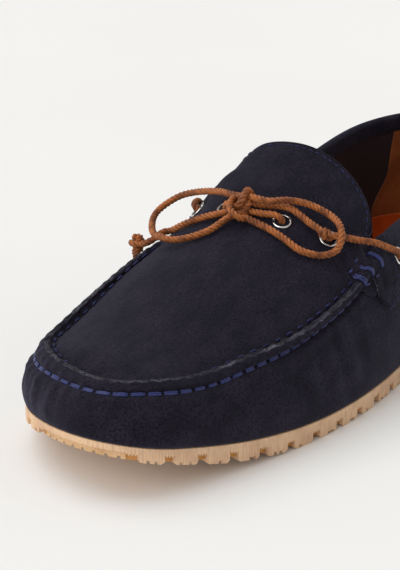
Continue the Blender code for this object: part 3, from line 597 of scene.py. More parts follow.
class Sheets:
    """Collects grids of shoe points, with their material slots and map places, into one mesh."""

    def __init__(self):
        self.points, self.faces, self.slots, self.places = [], [], [], []
        self.count = 0

    def grid(self, points, ring=False, tube=False, slot=0, flip=False, places=None):
        """Quads over rows and columns; ring joins the last row to the first, tube the columns."""
        rows, cols = points.shape[:2]
        r = np.arange(rows if ring else rows - 1)[:, None]
        c = np.arange(cols if tube else cols - 1)[None, :]
        r_next, c_next = (r + 1) % rows, (c + 1) % cols
        r_far, c_far = (r + 1 if ring else r_next), (c + 1 if tube else c_next)
        if places is None:
            places = np.moveaxis(np.indices((rows + 1, cols + 1)), 0, -1)
        corners = [(r, c), (r_next, c), (r_next, c_next), (r, c_next)]
        spots = [(r, c), (r_far, c), (r_far, c_far), (r, c_far)]
        size = (r.size, c.size)
        quads = np.stack([np.broadcast_to(a * cols + b, size) for a, b in corners], -1)
        uv = np.stack([np.broadcast_to(places[a, b], (*size, 2)) for a, b in spots], -2)
        quads, uv = quads.reshape(-1, 4), uv.reshape(-1, 4, 2)
        if flip:
            quads, uv = quads[:, ::-1], uv[:, ::-1]
        self.points.append(points.reshape(-1, 3))
        self.faces.append(quads + self.count)
        self.slots.append(np.broadcast_to(slot, size).reshape(-1))
        self.places.append(uv)
        self.count += rows * cols

    def make(self, name, skins, merge=0.0, away_from=None, inside_out=False):
        """One mesh object; its faces look away from a place, or towards it inside out."""
        mesh = bpy.data.meshes.new(name)
        points = row_frame(np.concatenate(self.points))
        mesh.from_pydata(points.tolist(), [], np.concatenate(self.faces).tolist())
        for skin in skins.split():
            mesh.materials.append(finishes(bpy.context.scene)[skin])
        mesh.polygons.foreach_set("material_index", np.concatenate(self.slots).astype(np.int32))
        layer = mesh.uv_layers.new(name="Surface")
        layer.data.foreach_set("uv", np.concatenate(self.places).astype(np.float32).ravel())
        mesh.polygons.foreach_set("use_smooth", np.ones(len(mesh.polygons), bool))
        bm = bmesh.new()
        bm.from_mesh(mesh)
        if merge:
            bmesh.ops.remove_doubles(bm, verts=bm.verts, dist=merge * MM)
            bmesh.ops.dissolve_degenerate(bm, edges=bm.edges, dist=merge * MM * 0.5)
        if away_from is not None:
            middle = Vector(row_frame(away_from))
            away = (f.calc_area() * f.normal.dot(f.calc_center_median() - middle) for f in bm.faces)
            if (sum(away) < 0) != inside_out:
                bmesh.ops.reverse_faces(bm, faces=bm.faces)
        bm.to_mesh(mesh)
        bm.free()
        return link(name, mesh)


def one_sheet(name, skins, points, away_from=None, merge=0.0, inside_out=False, **laid):
    """A piece from a single grid of points."""
    sheets = Sheets()
    sheets.grid(points, **laid)
    return sheets.make(name, skins, merge, away_from, inside_out)


def hold(obj, slot, *nodes):
    """Ride on the shoe and stand in for CAD nodes; slot, the finish's name, is not used."""
    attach(obj, "root")
    if nodes:
        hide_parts(*nodes)
    return obj


def thicken(obj, thickness, rim=0):
    """Give a skin its leather's thickness, on the inside."""
    change = obj.modifiers.new("Leather", "SOLIDIFY")
    change.thickness = thickness * MM
    change.offset = -1
    change.use_even_offset = False
    change.material_offset_rim = rim
    return obj


def spline_step(a, b, c, d, u):
    """The smooth curve from b to c, with a before them and d after, u running 0 to 1."""
    square = (2 * a - 5 * b + 4 * c - d) * u**2
    return 0.5 * (2 * b + (c - a) * u + square + (3 * b - a - 3 * c + d) * u**3)


def catmull(points, step):
    """Evenly spaced points on a smooth curve through the given ones."""
    points = np.asarray(points, float)
    padded = np.vstack([2 * points[0] - points[1], points, 2 * points[-1] - points[-2]])
    u = np.linspace(0, 1, 24, endpoint=False)[:, None]
    spans = zip(padded, padded[1:], padded[2:], padded[3:])
    fine = np.vstack([spline_step(*span, u) for span in spans] + [points[-1:]])
    walked = walked_along(fine)
    places = np.linspace(0, walked[-1], max(int(round(walked[-1] / step)), 2) + 1)
    return np.stack([np.interp(places, walked, fine[:, axis]) for axis in range(3)], -1)


def soften(path, rounds):
    """Round off a path's kinks, with its ends kept."""
    path = path.copy()
    for _ in range(rounds):
        path[1:-1] = path[1:-1] * 0.5 + (path[:-2] + path[2:]) * 0.25
    return path


def carried_frames(path):
    """Two side directions at each point of a path, turned no more than the path turns."""
    tangent = unit(np.gradient(path, axis=0))
    side = np.cross(tangent[0], UP)
    if np.linalg.norm(side) < 0.1:
        side = np.cross(tangent[0], (1.0, 0.0, 0.0))
    sides = []
    for t in tangent:
        side = side - t * np.dot(side, t)
        side = side / np.linalg.norm(side)
        sides.append(side)
    return np.array(sides), np.cross(tangent, sides)


def tube_rings(path, size, right, up, corners=8):
    """Rings of points round a path, square to it."""
    ring = (2 * math.pi * np.arange(corners) / corners)[None, :, None]
    spokes = right[:, None] * np.cos(ring) + up[:, None] * np.sin(ring)
    return path[:, None] + size[:, None, None] * spokes


def twist_strands(sheets, path, diameter, lay, phase=0.0, taper=0.0):
    """Lay three strands round a path, as a twisted lace."""
    side, other = carried_frames(path)
    walked = walked_along(path)
    radius, strand = diameter * 0.25, diameter * 0.257
    for number in range(3):
        angle = phase + 2 * math.pi * (walked / lay + number / 3)
        centre = path + radius * (side * np.cos(angle)[:, None] + other * np.sin(angle)[:, None])
        right, up = carried_frames(centre)
        uneven = 1 + 0.05 * ripple(walked * 1.7 + number * 5)
        size = strand * uneven * (1 - taper * ease(walked, walked[-1] - 2.5, walked[-1]))
        tube = tube_rings(centre, size, right, up)
        turns = np.arange(tube.shape[1] + 1) / tube.shape[1]
        places = np.stack(np.meshgrid(walked, turns + number, indexing="ij"), -1)
        sheets.grid(tube, tube=True, places=places, flip=True)
        for end, row in ((0, tube[0]), (-1, tube[-1])):
            cap = np.stack([row, np.broadcast_to(centre[end], row.shape)])
            sheets.grid(cap, tube=True, flip=end != 0)


def eyelet_seats():
    """Each eyelet's place and the direction square to the leather there."""
    seats = {}
    for name, across, along in VAMP_EYELETS:
        share = apron_share(along, across)
        seats[name] = apron(along, share), apron_normal(along, share)
    for name, side in SIDES.items():
        for number, along in enumerate(COLLAR_EYELETS, 1):
            turn = side * turn_of(along)
            height = 1 - EYELET_DROP / wall_rise(turn)
            place = wall(turn, height, GAP + BAND_WALL)
            seats[f"collar_{name}_{number}"] = place, wall_normal(turn, height)
    return seats


SEATS = eyelet_seats()


def bow_place(place):
    """A bow point in shoe millimetres."""
    across, along, up = place
    if up > FREE_HEIGHT:
        return np.array([across, along, up])
    share = np.clip(apron_share(along, across), -0.99, 0.99)
    return apron(along, share) + apron_normal(along, share) * up


def through_eyelet(seat, toward):
    """Lace points out of an eyelet's hole and over its rim towards a place."""
    point, normal = seat
    away = toward - point
    away = unit(away - normal * np.dot(away, normal))
    return [
        point - normal * 1.5,
        point + normal * 1.2 + away * 0.2,
        point + normal * 2.6 + away * 2.4,
        point + normal * 2.9 + away * 5.5,
    ]


# ---------------------------------------------------------------- nodes and finishes
def add_node(tree, kind, inputs=None, **settings):
    """Add a node, set its properties, then fill its inputs with values or links."""
    node = tree.nodes.new(kind)
    for name, value in settings.items():
        setattr(node, name, value)
    for name, value in (inputs or {}).items():
        if isinstance(value, bpy.types.NodeSocket):
            tree.links.new(value, node.inputs[name])
        else:
            node.inputs[name].default_value = value
    return node


def put(tree, kind, inputs=None, **settings):
    """Add a node and give its first output."""
    return add_node(tree, kind, inputs, **settings).outputs[0]


def reckon(tree, operation, *values):
    """One step of arithmetic on a tree's values."""
    return put(tree, "ShaderNodeMath", dict(enumerate(values)), operation=operation)


def from_hex(text):
    """Linear colour from an sRGB hex value."""
    parts = [int(text[i : i + 2], 16) / 255 for i in (1, 3, 5)]
    return [p / 12.92 if p <= 0.04045 else ((p + 0.055) / 1.055) ** 2.4 for p in parts]


def finish(name, roughness, **constants):
    """A Principled material, its tree and shader; constants stay on the shader's own sockets."""
    made = bpy.data.materials.new(name)
    made.use_nodes = True
    shader = made.node_tree.nodes["Principled BSDF"]
    shader.inputs["Roughness"].default_value = roughness
    for socket, value in constants.items():
        shader.inputs[socket.replace("_", " ").title().replace("Ior", "IOR")].default_value = value
    return made, made.node_tree, shader


def mm_coordinates(tree, stretch=(1, 1, 1), map_name=None):
    """Object places, or the surface map, in millimetres."""
    if map_name:
        source, per_mm = put(tree, "ShaderNodeUVMap", uv_map=map_name), 1
    else:
        source, per_mm = add_node(tree, "ShaderNodeTexCoord").outputs["Object"], 1 / MM
    scale = tuple(s * per_mm for s in stretch)
    return put(tree, "ShaderNodeMapping", {"Vector": source, "Scale": scale})


def noise(tree, vector, per_mm, detail=2.0, roughness=0.5):
    """Cloudy pattern; per_mm is how many clouds go in a millimetre."""
    settings = {"Vector": vector, "Scale": per_mm, "Detail": detail, "Roughness": roughness}
    return put(tree, "ShaderNodeTexNoise", settings)


def blend_by(tree, factor, low, high, start=0.35, end=0.65):
    """Mix two colours where a pattern runs from start to end."""
    span = {"Value": factor, "From Min": start, "From Max": end}
    spread = put(tree, "ShaderNodeMapRange", span, interpolation_type="SMOOTHSTEP")
    mixed = add_node(tree, "ShaderNodeMix", {0: spread}, data_type="RGBA")
    for socket, value in ((mixed.inputs[6], low), (mixed.inputs[7], high)):
        if isinstance(value, bpy.types.NodeSocket):
            tree.links.new(value, socket)
        else:
            socket.default_value = (*value, 1)
    return mixed.outputs[2]


def colour_in(tree, shader, light, dark, cloud, tones, marks, deep, reach):
    """Base colour: a cloudy tone from dark to light, with darker marks over it."""
    tone = blend_by(tree, cloud, dark, light, *tones)
    mixed = blend_by(tree, marks, [c * deep for c in dark], tone, *reach)
    tree.links.new(mixed, shader.inputs["Base Color"])


def emboss(tree, shader, height, depth_mm, strength=1.0, below=None):
    """Bump with its height in millimetres; below is another bump under it."""
    inputs = {"Height": height, "Distance": depth_mm * MM, "Strength": strength}
    if below:
        inputs["Normal"] = below
    bump = put(tree, "ShaderNodeBump", inputs)
    tree.links.new(bump, shader.inputs["Normal"])
    return bump


def suede_finish(name, dark, light, edge=False):
    """Brushed calf suede: a short nap, so no gloss, soft light at grazing angles, uneven tone."""
    soft_nap = {"specular_ior_level": 0.06, "sheen_weight": 0.13, "sheen_roughness": 0.45}
    made, tree, shader = finish(name, 0.95, **soft_nap)
    shader.inputs["Sheen Tint"].default_value = (0.62, 0.64, 0.86, 1)
    place = mm_coordinates(tree)
    clouds, first, last = (0.26, 0.36, 0.72) if edge else (0.16, 0.3, 0.7)
    brushed = noise(tree, mm_coordinates(tree, (0.9, 0.45, 0.6)), clouds, 3)
    grain = noise(tree, place, 1.15, 3, 0.75)  # fibres are finer; drawn so that they show
    tone = blend_by(tree, brushed, dark, light, first, last)
    mixed = blend_by(tree, grain, [c * (0.4 if edge else 0.5) for c in dark], tone, 0.33, 0.6)
    source = add_node(tree, "ShaderNodeTexCoord").outputs["Object"]
    up = add_node(tree, "ShaderNodeSeparateXYZ", {"Vector": source}).outputs["Z"]
    # Lighter low down, and darker high up on the tongue, collar and knot as painted shade.
    levels = [
        put(tree, "ShaderNodeMapRange", {"Value": up, "From Min": a, "From Max": b, 3: c, 4: d})
        for a, b, c, d in ((0.010, 0.038, 1.3, 1.0), (0.068, 0.088, 1.0, 0.84))
    ]
    level = reckon(tree, "MULTIPLY", *levels)
    mixed = put(tree, "ShaderNodeVectorMath", {0: mixed, "Scale": level}, operation="SCALE")
    tree.links.new(mixed, shader.inputs["Base Color"])
    soft = emboss(tree, shader, noise(tree, place, 0.45, 2), 0.28, 0.5)
    emboss(tree, shader, noise(tree, place, 2.2, 2, 0.7), 0.5 if edge else 0.22, 0.8, soft)
    return made


def rubber_finish(name, light, dark):
    """Moulded gum rubber: dull, slightly waxy, with drag marks up the side."""
    made, tree, shader = finish(name, 0.55, specular_ior_level=0.35, subsurface_weight=0.12)
    shader.inputs["Subsurface Radius"].default_value = (0.004, 0.002, 0.001)
    shader.inputs["Subsurface Scale"].default_value = 1.0
    streaks = noise(tree, mm_coordinates(tree, (1, 0.12, 1), "Surface"), 1.1, 3, 0.6)
    cloud = noise(tree, mm_coordinates(tree), 0.11, 3)
    colour_in(tree, shader, light, dark, cloud, (0.25, 0.65), streaks, 0.88, (0.22, 0.5))
    emboss(tree, shader, streaks, 0.12, 0.5)
    return made


def lace_finish(name, light, dark):
    """Waxed twisted cord: fine fibres along each strand, and an uneven darker handled tone."""
    made, tree, shader = finish(name, 0.5, specular_ior_level=0.35, sheen_weight=0.12)
    shader.inputs["Sheen Tint"].default_value = (1.0, 0.72, 0.5, 1)
    fibres = noise(tree, mm_coordinates(tree, (0.5, 9, 1), "Surface"), 1.0, 3, 0.6)
    cloud = noise(tree, mm_coordinates(tree), 0.22, 2)
    colour_in(tree, shader, light, dark, cloud, (0.3, 0.62), fibres, 0.62, (0.25, 0.55))
    emboss(tree, shader, fibres, 0.12, 0.7)
    return made


def leather_finish(name, light, dark, roughness=0.5, grain=0.9):
    """Drummed lining leather: fine pores, a low waxy shine and a darker handled tone."""
    made, tree, shader = finish(name, roughness, specular_ior_level=0.4)
    place = mm_coordinates(tree)
    pores = put(tree, "ShaderNodeTexVoronoi", {"Vector": place, "Scale": grain})
    cloud = noise(tree, place, 0.07, 4)
    colour_in(tree, shader, light, dark, cloud, (0.3, 0.65), pores, 0.75, (0.02, 0.3))
    emboss(tree, shader, pores, 0.12, 0.5)
    return made


def thread_finish(name, light, dark):
    """Waxed polyester thread: plied, with a slight shine."""
    made, tree, shader = finish(name, 0.42, specular_ior_level=0.4, sheen_weight=0.1)
    plies = noise(tree, mm_coordinates(tree), 1.6, 2)
    tree.links.new(blend_by(tree, plies, dark, light, 0.3, 0.6), shader.inputs["Base Color"])
    emboss(tree, shader, plies, 0.15, 0.5)
    return made


def nickel_finish(name, colour):
    """Nickel-plated brass, tumbled: bright, with faint handling marks in its shine."""
    made, tree, shader = finish(name, 0.2, metallic=1.0)
    shader.inputs["Base Color"].default_value = (*colour, 1)
    marks = noise(tree, mm_coordinates(tree), 1.3, 3)
    spread = put(tree, "ShaderNodeMapRange", {"Value": marks, "To Min": 0.12, "To Max": 0.2})
    tree.links.new(spread, shader.inputs["Roughness"])
    return made


FINISHES = {}


def finishes(scene):
    """All the shoe's materials by name, made once."""
    if "suede" in FINISHES:
        return FINISHES
    leather, lace, sole = scene.moccasin_leather, scene.moccasin_lace, scene.moccasin_sole
    thread, metal = scene.moccasin_thread, scene.moccasin_eyelets
    recipes = {
        "suede": (suede_finish, "calf_suede_navy", leather.suede_dark, leather.suede_light),
        # Cut edges: the fibres' lighter colour with a painted highlight.
        "raw": (suede_finish, "cut_suede_edge", leather.cut_dark, leather.cut_fibres_and_highlight, True),
        "tan": (leather_finish, "tan_calf_lining", leather.tan_light, leather.tan_dark),
        "heel": (leather_finish, "brown_calf_heel", leather.heel_light, leather.heel_dark),
        "lining": (leather_finish, "black_pig_lining", *[leather.lining] * 2, 0.7, 1.4),
        "gum": (rubber_finish, "moulded_gum_rubber", sole.gum_light, sole.gum_dark),
        "toe": (rubber_finish, "scuffed_gum_rubber", sole.band_shade_light, sole.band_shade_dark),
        "amber": (rubber_finish, "amber_gum_rubber", sole.amber, sole.amber),
        "lace": (lace_finish, "twisted_waxed_cord", lace.light, lace.dark),
        "thread": (thread_finish, "waxed_blue_thread", thread.light, thread.dark),
        "nickel": (nickel_finish, "nickel_plated_brass", metal.colour),
    }
    for name, (recipe, *settings) in recipes.items():
        FINISHES[name] = recipe(*settings)
    return FINISHES


# ---------------------------------------------------------------- Geometry Nodes
def start_tree(name, sizes):
    """A node tree that takes geometry and named sizes, and its inputs."""
    tree = bpy.data.node_groups.new(name, "GeometryNodeTree")
    tree.interface.new_socket("Geometry", in_out="INPUT", socket_type="NodeSocketGeometry")
    for label, size in sizes.items():
        socket = tree.interface.new_socket(label, in_out="INPUT", socket_type="NodeSocketFloat")
        socket.subtype = "DISTANCE"
        socket.default_value = size
    tree.interface.new_socket("Geometry", in_out="OUTPUT", socket_type="NodeSocketGeometry")
    return tree, add_node(tree, "NodeGroupInput").outputs


def end_tree(tree, laid, material):
    """Lay the shape on its points, make it real, smooth it and give it its material."""
    placed = put(tree, "GeometryNodeInstanceOnPoints", laid)
    real = put(tree, "GeometryNodeRealizeInstances", {"Geometry": placed})
    smooth_on = put(tree, "GeometryNodeSetShadeSmooth", {"Geometry": real})
    dressed = {"Geometry": smooth_on, "Material": material}
    add_node(tree, "NodeGroupOutput", {"Geometry": put(tree, "GeometryNodeSetMaterial", dressed)})
    return tree


def stitch_tree(material):
    """Stitches laid along a path: two plump threads each, lying on the surface."""
    sizes = {"Pitch": 0.0072, "Stitch length": 0.0058, "Thread": 0.001, "Spread": 0.0}
    tree, given = start_tree("Running stitch", sizes)
    curve = put(tree, "GeometryNodeMeshToCurve", {"Mesh": given["Geometry"]})
    spacing = {"Curve": curve, "Length": given["Pitch"]}
    spaced = put(tree, "GeometryNodeResampleCurve", spacing, mode="LENGTH")
    face = put(tree, "GeometryNodeInputNamedAttribute", {"Name": "face"}, data_type="FLOAT_VECTOR")
    ahead = {"Vector": put(tree, "GeometryNodeInputTangent")}
    along = put(tree, "FunctionNodeAlignRotationToVector", ahead, axis="X")
    upright = {"Rotation": along, "Vector": face}
    turned = put(tree, "FunctionNodeAlignRotationToVector", upright, axis="Z", pivot_axis="X")
    ball = put(tree, "GeometryNodeMeshUVSphere", {"Segments": 8, "Rings": 10, "Radius": 0.5})
    laid = put(tree, "GeometryNodeTransform", {"Geometry": ball, "Rotation": (0, math.pi / 2, 0)})
    # Its ends are pushed out, more in the middle of each half, so that they are blunt.
    place = put(tree, "GeometryNodeInputPosition")
    end = add_node(tree, "ShaderNodeSeparateXYZ", {"Vector": place}).outputs["X"]
    blunt = reckon(tree, "MULTIPLY_ADD", reckon(tree, "MULTIPLY", end, end), -0.6, 0.15)
    push = reckon(tree, "MULTIPLY", end, blunt)
    pushed = {"Geometry": laid, "Offset": put(tree, "ShaderNodeCombineXYZ", {"X": push})}
    plump = put(tree, "GeometryNodeSetPosition", pushed)
    girth = {"X": given["Stitch length"], "Y": given["Thread"], "Z": given["Thread"]}
    girth = put(tree, "ShaderNodeCombineXYZ", girth)
    threads = add_node(tree, "GeometryNodeJoinGeometry")
    for way in (1, -1):
        across = reckon(tree, "MULTIPLY", given["Spread"], way)
        shift = put(tree, "ShaderNodeCombineXYZ", {"Y": across})
        moved = {"Geometry": plump, "Translation": shift, "Scale": girth}
        tree.links.new(put(tree, "GeometryNodeTransform", moved), threads.inputs[0])
    spread = {"Min": (0.84, 0.8, 0.85), "Max": (1.12, 1.15, 1.1), "Seed": 7}
    uneven = put(tree, "FunctionNodeRandomValue", spread, data_type="FLOAT_VECTOR")
    instance = threads.outputs[0]
    laid = {"Points": spaced, "Instance": instance, "Rotation": turned, "Scale": uneven}
    return end_tree(tree, laid, material)


def eyelet_tree(material):
    """A turned eyelet on every face of a guide mesh, its axis along the face's normal."""
    sizes = {"Ring radius": 0.0036, "Roll": 0.0008, "Barrel depth": 0.0032}
    tree, given = start_tree("Eyelets", sizes)
    kept = add_node(
        tree, "GeometryNodeCaptureAttribute", {"Geometry": given["Geometry"]}, domain="FACE"
    )
    kept.capture_items.new("VECTOR", "Axis")
    tree.links.new(put(tree, "GeometryNodeInputNormal"), kept.inputs["Axis"])
    points = put(tree, "GeometryNodeMeshToPoints", {"Mesh": kept.outputs[0]}, mode="FACES")
    axis = {"Vector": kept.outputs["Axis"]}
    aimed = put(tree, "FunctionNodeAlignRotationToVector", axis, axis="Z")
    ring, roll = (
        put(tree, "GeometryNodeCurvePrimitiveCircle", {"Resolution": count, "Radius": given[name]})
        for count, name in ((40, "Ring radius"), (12, "Roll"))
    )
    rolled = put(tree, "GeometryNodeCurveToMesh", {"Curve": ring, "Profile Curve": roll})
    inner = reckon(tree, "MULTIPLY", given["Ring radius"], 0.8)
    barrel = {"Vertices": 40, "Radius": inner, "Depth": given["Barrel depth"]}
    barrel = put(tree, "GeometryNodeMeshCylinder", barrel, fill_type="NONE")
    sink = reckon(tree, "MULTIPLY", given["Barrel depth"], -0.5)
    down = put(tree, "ShaderNodeCombineXYZ", {"Z": sink})
    lowered = put(tree, "GeometryNodeTransform", {"Geometry": barrel, "Translation": down})
    whole = add_node(tree, "GeometryNodeJoinGeometry")
    for rise, size in ((0.0004, (1, 1, 0.9)), (-0.00055, (0.86, 0.86, 0.8))):  # rim, inner edge
        part = {"Geometry": rolled, "Translation": (0, 0, rise), "Scale": size}
        tree.links.new(put(tree, "GeometryNodeTransform", part), whole.inputs[0])
    tree.links.new(put(tree, "GeometryNodeFlipFaces", {"Mesh": lowered}), whole.inputs[0])
    laid = {"Points": points, "Instance": whole.outputs[0], "Rotation": aimed}
    return end_tree(tree, laid, material)


def grown(name, guide, tree, sizes, material):
    """Run a node tree on a guide mesh and keep the result as a plain piece."""
    obj = link(name, guide)
    change = obj.modifiers.new("Grow", "NODES")
    change.node_group = tree
    for item in tree.interface.items_tree:
        if item.item_type == "SOCKET" and item.in_out == "INPUT" and item.name in sizes:
            change[item.identifier] = sizes[item.name]
    graph = bpy.context.evaluated_depsgraph_get()
    mesh = bpy.data.meshes.new_from_object(obj.evaluated_get(graph))
    obj.modifiers.remove(change)
    obj.data = mesh
    mesh.name = name
    if not mesh.materials:
        mesh.materials.append(material)
    bpy.data.meshes.remove(guide)
    return obj


def path_guide(name, lines):
    """Polylines with the surface's direction at each point, for a stitch tree."""
    points = np.concatenate([line for line, _ in lines])
    faces = np.concatenate([normal for _, normal in lines])
    edges, first = [], 0
    for line, _ in lines:
        edges += [(first + i, first + i + 1) for i in range(len(line) - 1)]
        first += len(line)
    mesh = bpy.data.meshes.new(name)
    mesh.from_pydata(row_frame(points).tolist(), edges, [])
    layer = mesh.attributes.new("face", "FLOAT_VECTOR", "POINT")
    layer.data.foreach_set("vector", faces.astype(np.float32).ravel())
    return mesh


# ---------------------------------------------------------------- settings
def length_property(name, description, size):
    """A length in metres, shown in the scene's unit."""
    return FloatProperty(name=name, description=description, default=size, min=0, unit="LENGTH")


def colour_property(name, description, text):
    """A colour from its sRGB hex value."""
    return FloatVectorProperty(
        name=name, description=description, default=from_hex(text), subtype="COLOR", size=3
    )


class MoccasinLeather(bpy.types.PropertyGroup):
    """Leathers of the upper and the inside."""

    suede_dark: colour_property("Suede, dark", "Suede where its nap is brushed down", "#1d1a24")
    suede_light: colour_property("Suede, light", "Suede where its nap stands", "#292532")
    cut_dark: colour_property("Cut edge, dark", "Raw edge of the seam and tongue", "#1c1b21")
    # The cut edge's light tone is its standing fibres' colour with a painted highlight.
    cut_fibres_and_highlight: colour_property("Cut edge, light", "Fibres standing on the raw edge", "#615f69")
    tan_light: colour_property("Tan, light", "Sock and heel cup", "#cc5c1c")
    tan_dark: colour_property("Tan, dark", "Sock and heel cup, handled", "#a84510")
    heel_light: colour_property("Heel, light", "Heel lining", "#8f552f")
    heel_dark: colour_property("Heel, dark", "Heel lining, rubbed", "#6d3c1e")
    lining: colour_property("Side lining", "Lining beside the foot", "#262026")
    thickness: length_property("Thickness", "Upper leather", 0.0008)


class MoccasinThread(bpy.types.PropertyGroup):
    """Blue sewing thread."""

    pitch: length_property("Pitch", "Moc seam stitches, hole to hole", 0.0061)
    stitch: length_property("Stitch length", "Shown length of a moc seam stitch", 0.0052)
    thread: length_property("Thread", "Thickness of the moc seam's thread", 0.00098)
    fine_pitch: length_property("Fine pitch", "Machine stitches, hole to hole", 0.0032)
    fine_thread: length_property("Fine thread", "Machine thread", 0.00055)
    light: colour_property("Light", "Thread", "#26326f")
    dark: colour_property("Dark", "Thread between its plies", "#161c49")


class MoccasinLace(bpy.types.PropertyGroup):
    """Twisted lace."""

    diameter: length_property("Diameter", "Over all three strands", 0.0029)
    lay: length_property("Lay", "Length of one turn of the strands", 0.0056)
    light: colour_property("Light", "Cord", "#ab632f")
    dark: colour_property("Dark", "Cord, handled", "#6e3815")


class MoccasinEyelets(bpy.types.PropertyGroup):
    """Rolled metal eyelets."""

    ring: length_property("Ring radius", "Middle of the rolled edge", 0.0034)
    roll: length_property("Roll", "Radius of the rolled edge", 0.0005)
    barrel: length_property("Barrel", "Depth through the leather", 0.0034)
    colour: colour_property("Colour", "Plating", "#dcdad6")


class MoccasinSole(bpy.types.PropertyGroup):
    """Cleated rubber sole."""

    gap_width: length_property("Gap width", "Slots between the edge lugs", 0.0043)
    rib_depth: length_property("Rib depth", "Upright ribs moulded in the side", 0.0001)
    notch_depth: length_property("Notch depth", "Notches cut up into each lug", 0.0011)
    notch_width: length_property("Notch width", "Notches cut up into each lug", 0.0015)
    tooth: length_property("Tooth", "Teeth along the top of each gap", 0.0006)
    gum_light: colour_property("Gum, light", "Rubber", "#e4c09c")
    # The toe bumper's set-back lower band is drawn in darker rubber as painted shade under its
    # step.
    band_shade_light: colour_property("Toe, light", "Rubber of the toe bumper's lower band", "#dab48a")
    band_shade_dark: colour_property("Toe, dark", "The same where it is darker", "#c69b6e")
    gum_dark: colour_property("Gum, dark", "Rubber, shaded", "#d2aa8a")
    # The deeper amber of the gaps' recesses is painted shade.
    amber: colour_property("Amber", "Rubber between the lugs", "#c78d4a")


class MoccasinStage(bpy.types.PropertyGroup):
    """Floor, light and camera."""

    floor: colour_property("Floor", "Plain sweep under the shoe", "#f2f2f1")
    fill: FloatProperty(name="Fill", description="Light from all round", default=0.5, min=0)
    key: FloatProperty(name="Key", description="Large soft lamp overhead", default=1.35, min=0)
    front: FloatProperty(name="Front", description="Low soft lamp by the toe", default=1.1, min=0)
    lens: FloatProperty(
        name="Lens", description="Camera's focal length in mm", default=159.03, min=1
    )


# ---------------------------------------------------------------- pieces
class MOCCASIN_OT_camera(bpy.types.Operator):
    """Set the camera at the display angle"""

    bl_idname = "moccasin.camera"
    bl_label = "Camera"

    def execute(self, context):
        azimuth, elevation, roll = (math.radians(a) for a in CAMERA_ANGLES)
        data = bpy.data.cameras.new("display_camera")
        data.sensor_width, data.sensor_fit = 36, "HORIZONTAL"
        data.lens = context.scene.moccasin_stage.lens
        data.shift_x, data.shift_y = CAMERA_SHIFT
        data.clip_start, data.clip_end = 0.01, 20
        level = np.array([math.cos(azimuth), math.sin(azimuth), 0.0])
        forward = math.cos(elevation) * np.array([-math.sin(azimuth), math.cos(azimuth), 0.0])
        forward -= math.sin(elevation) * UP
        up = np.cross(level, forward)
        right = level * math.cos(roll) - up * math.sin(roll)
        placed = np.eye(4)
        placed[:3] = np.stack([right, np.cross(right, forward), -forward, CAMERA_PLACE], 1)
        camera = link("display_camera", data)
        camera.matrix_world = Matrix(placed.tolist())
        context.scene.camera = camera
        return {"FINISHED"}


def knot_piece(name, centre, axis, size, lace):
    """The lace's end, wrapped round itself, with a short frayed tail."""
    axis = unit(np.asarray(axis, float))
    side = unit(np.cross(axis, (0.6, -0.8, 0.0)))
    other = np.cross(axis, side)
    t = np.linspace(0, 1, 70)
    angle = 2 * math.pi * WRAP_TURNS * t
    swell = size * (1.75 + 0.5 * np.sin(math.pi * t))
    spokes = side * np.cos(angle)[:, None] + other * np.sin(angle)[:, None]
    path = centre + swell[:, None] * spokes + axis * (4.6 * size * (t - 0.5))[:, None]
    tail = path[-1] + (axis * 4.2 - side * 0.8) * size
    wrap = catmull(np.vstack([path[::5], tail[None]]), LACE_STEP)
    core = catmull([centre + axis * size * at for at in (-3.6, -1.0, 2.0, 4.4)], LACE_STEP)
    sheets = Sheets()
    diameter, lay = lace.diameter / MM * (0.4 + 0.5 * size), lace.lay / MM
    twist_strands(sheets, wrap, diameter, lay, taper=0.6)
    twist_strands(sheets, core, diameter, lay, 1.0, taper=0.5)
    fray = np.random.default_rng(3)
    for _ in range(FRAYED_FIBRES):
        end = tail + axis * 2.2 + fray.normal(0, 0.9, 3)
        middle = (tail + end) / 2 + fray.normal(0, 0.3, 3)
        twist_strands(sheets, catmull([tail - axis * 0.8, middle, end], 0.4), 0.45, 2.0, taper=0.6)
    return sheets.make(name, "lace", merge=0.001)


class MOCCASIN_OT_bow(bpy.types.Operator):
    """Tie the bow: two twisted cords, the knot's wraps and the end knots"""

    bl_idname = "moccasin.bow"
    bl_label = "Bow"

    def execute(self, context):
        lace = context.scene.moccasin_lace
        diameter, lay = lace.diameter / MM, lace.lay / MM
        sheets = Sheets()
        for phase, wrap in enumerate(KNOT_WRAPS):
            path = catmull([bow_place(p) for p in wrap], LACE_STEP)
            twist_strands(sheets, path, diameter, lay, phase)
        knot = hold(sheets.make("bow_knot_wraps", "lace", merge=0.001), "tan_lace", "bow_knot")
        for side, places in (("lateral", LATERAL_BOW), ("medial", MEDIAL_BOW)):
            centre = bow_place(END_KNOTS[side])
            end_knot = knot_piece(f"lace_tip_{side}", centre, *KNOT_TIES[side], lace)
            hold(end_knot, "tan_lace", f"end_knot_{side}")
            route = soften(catmull([bow_place(p) for p in places], 0.6), 6)
            path = catmull(route[::2], LACE_STEP)
            sheets = Sheets()
            twist_strands(sheets, path, diameter, lay, 0.8)
            cord = sheets.make(f"bow_{side}", "lace", merge=0.001)
            hold(cord, "tan_lace", *(f"bow_{part}_{side}" for part in ("stub", "loop", "end")))
        return {"FINISHED"}


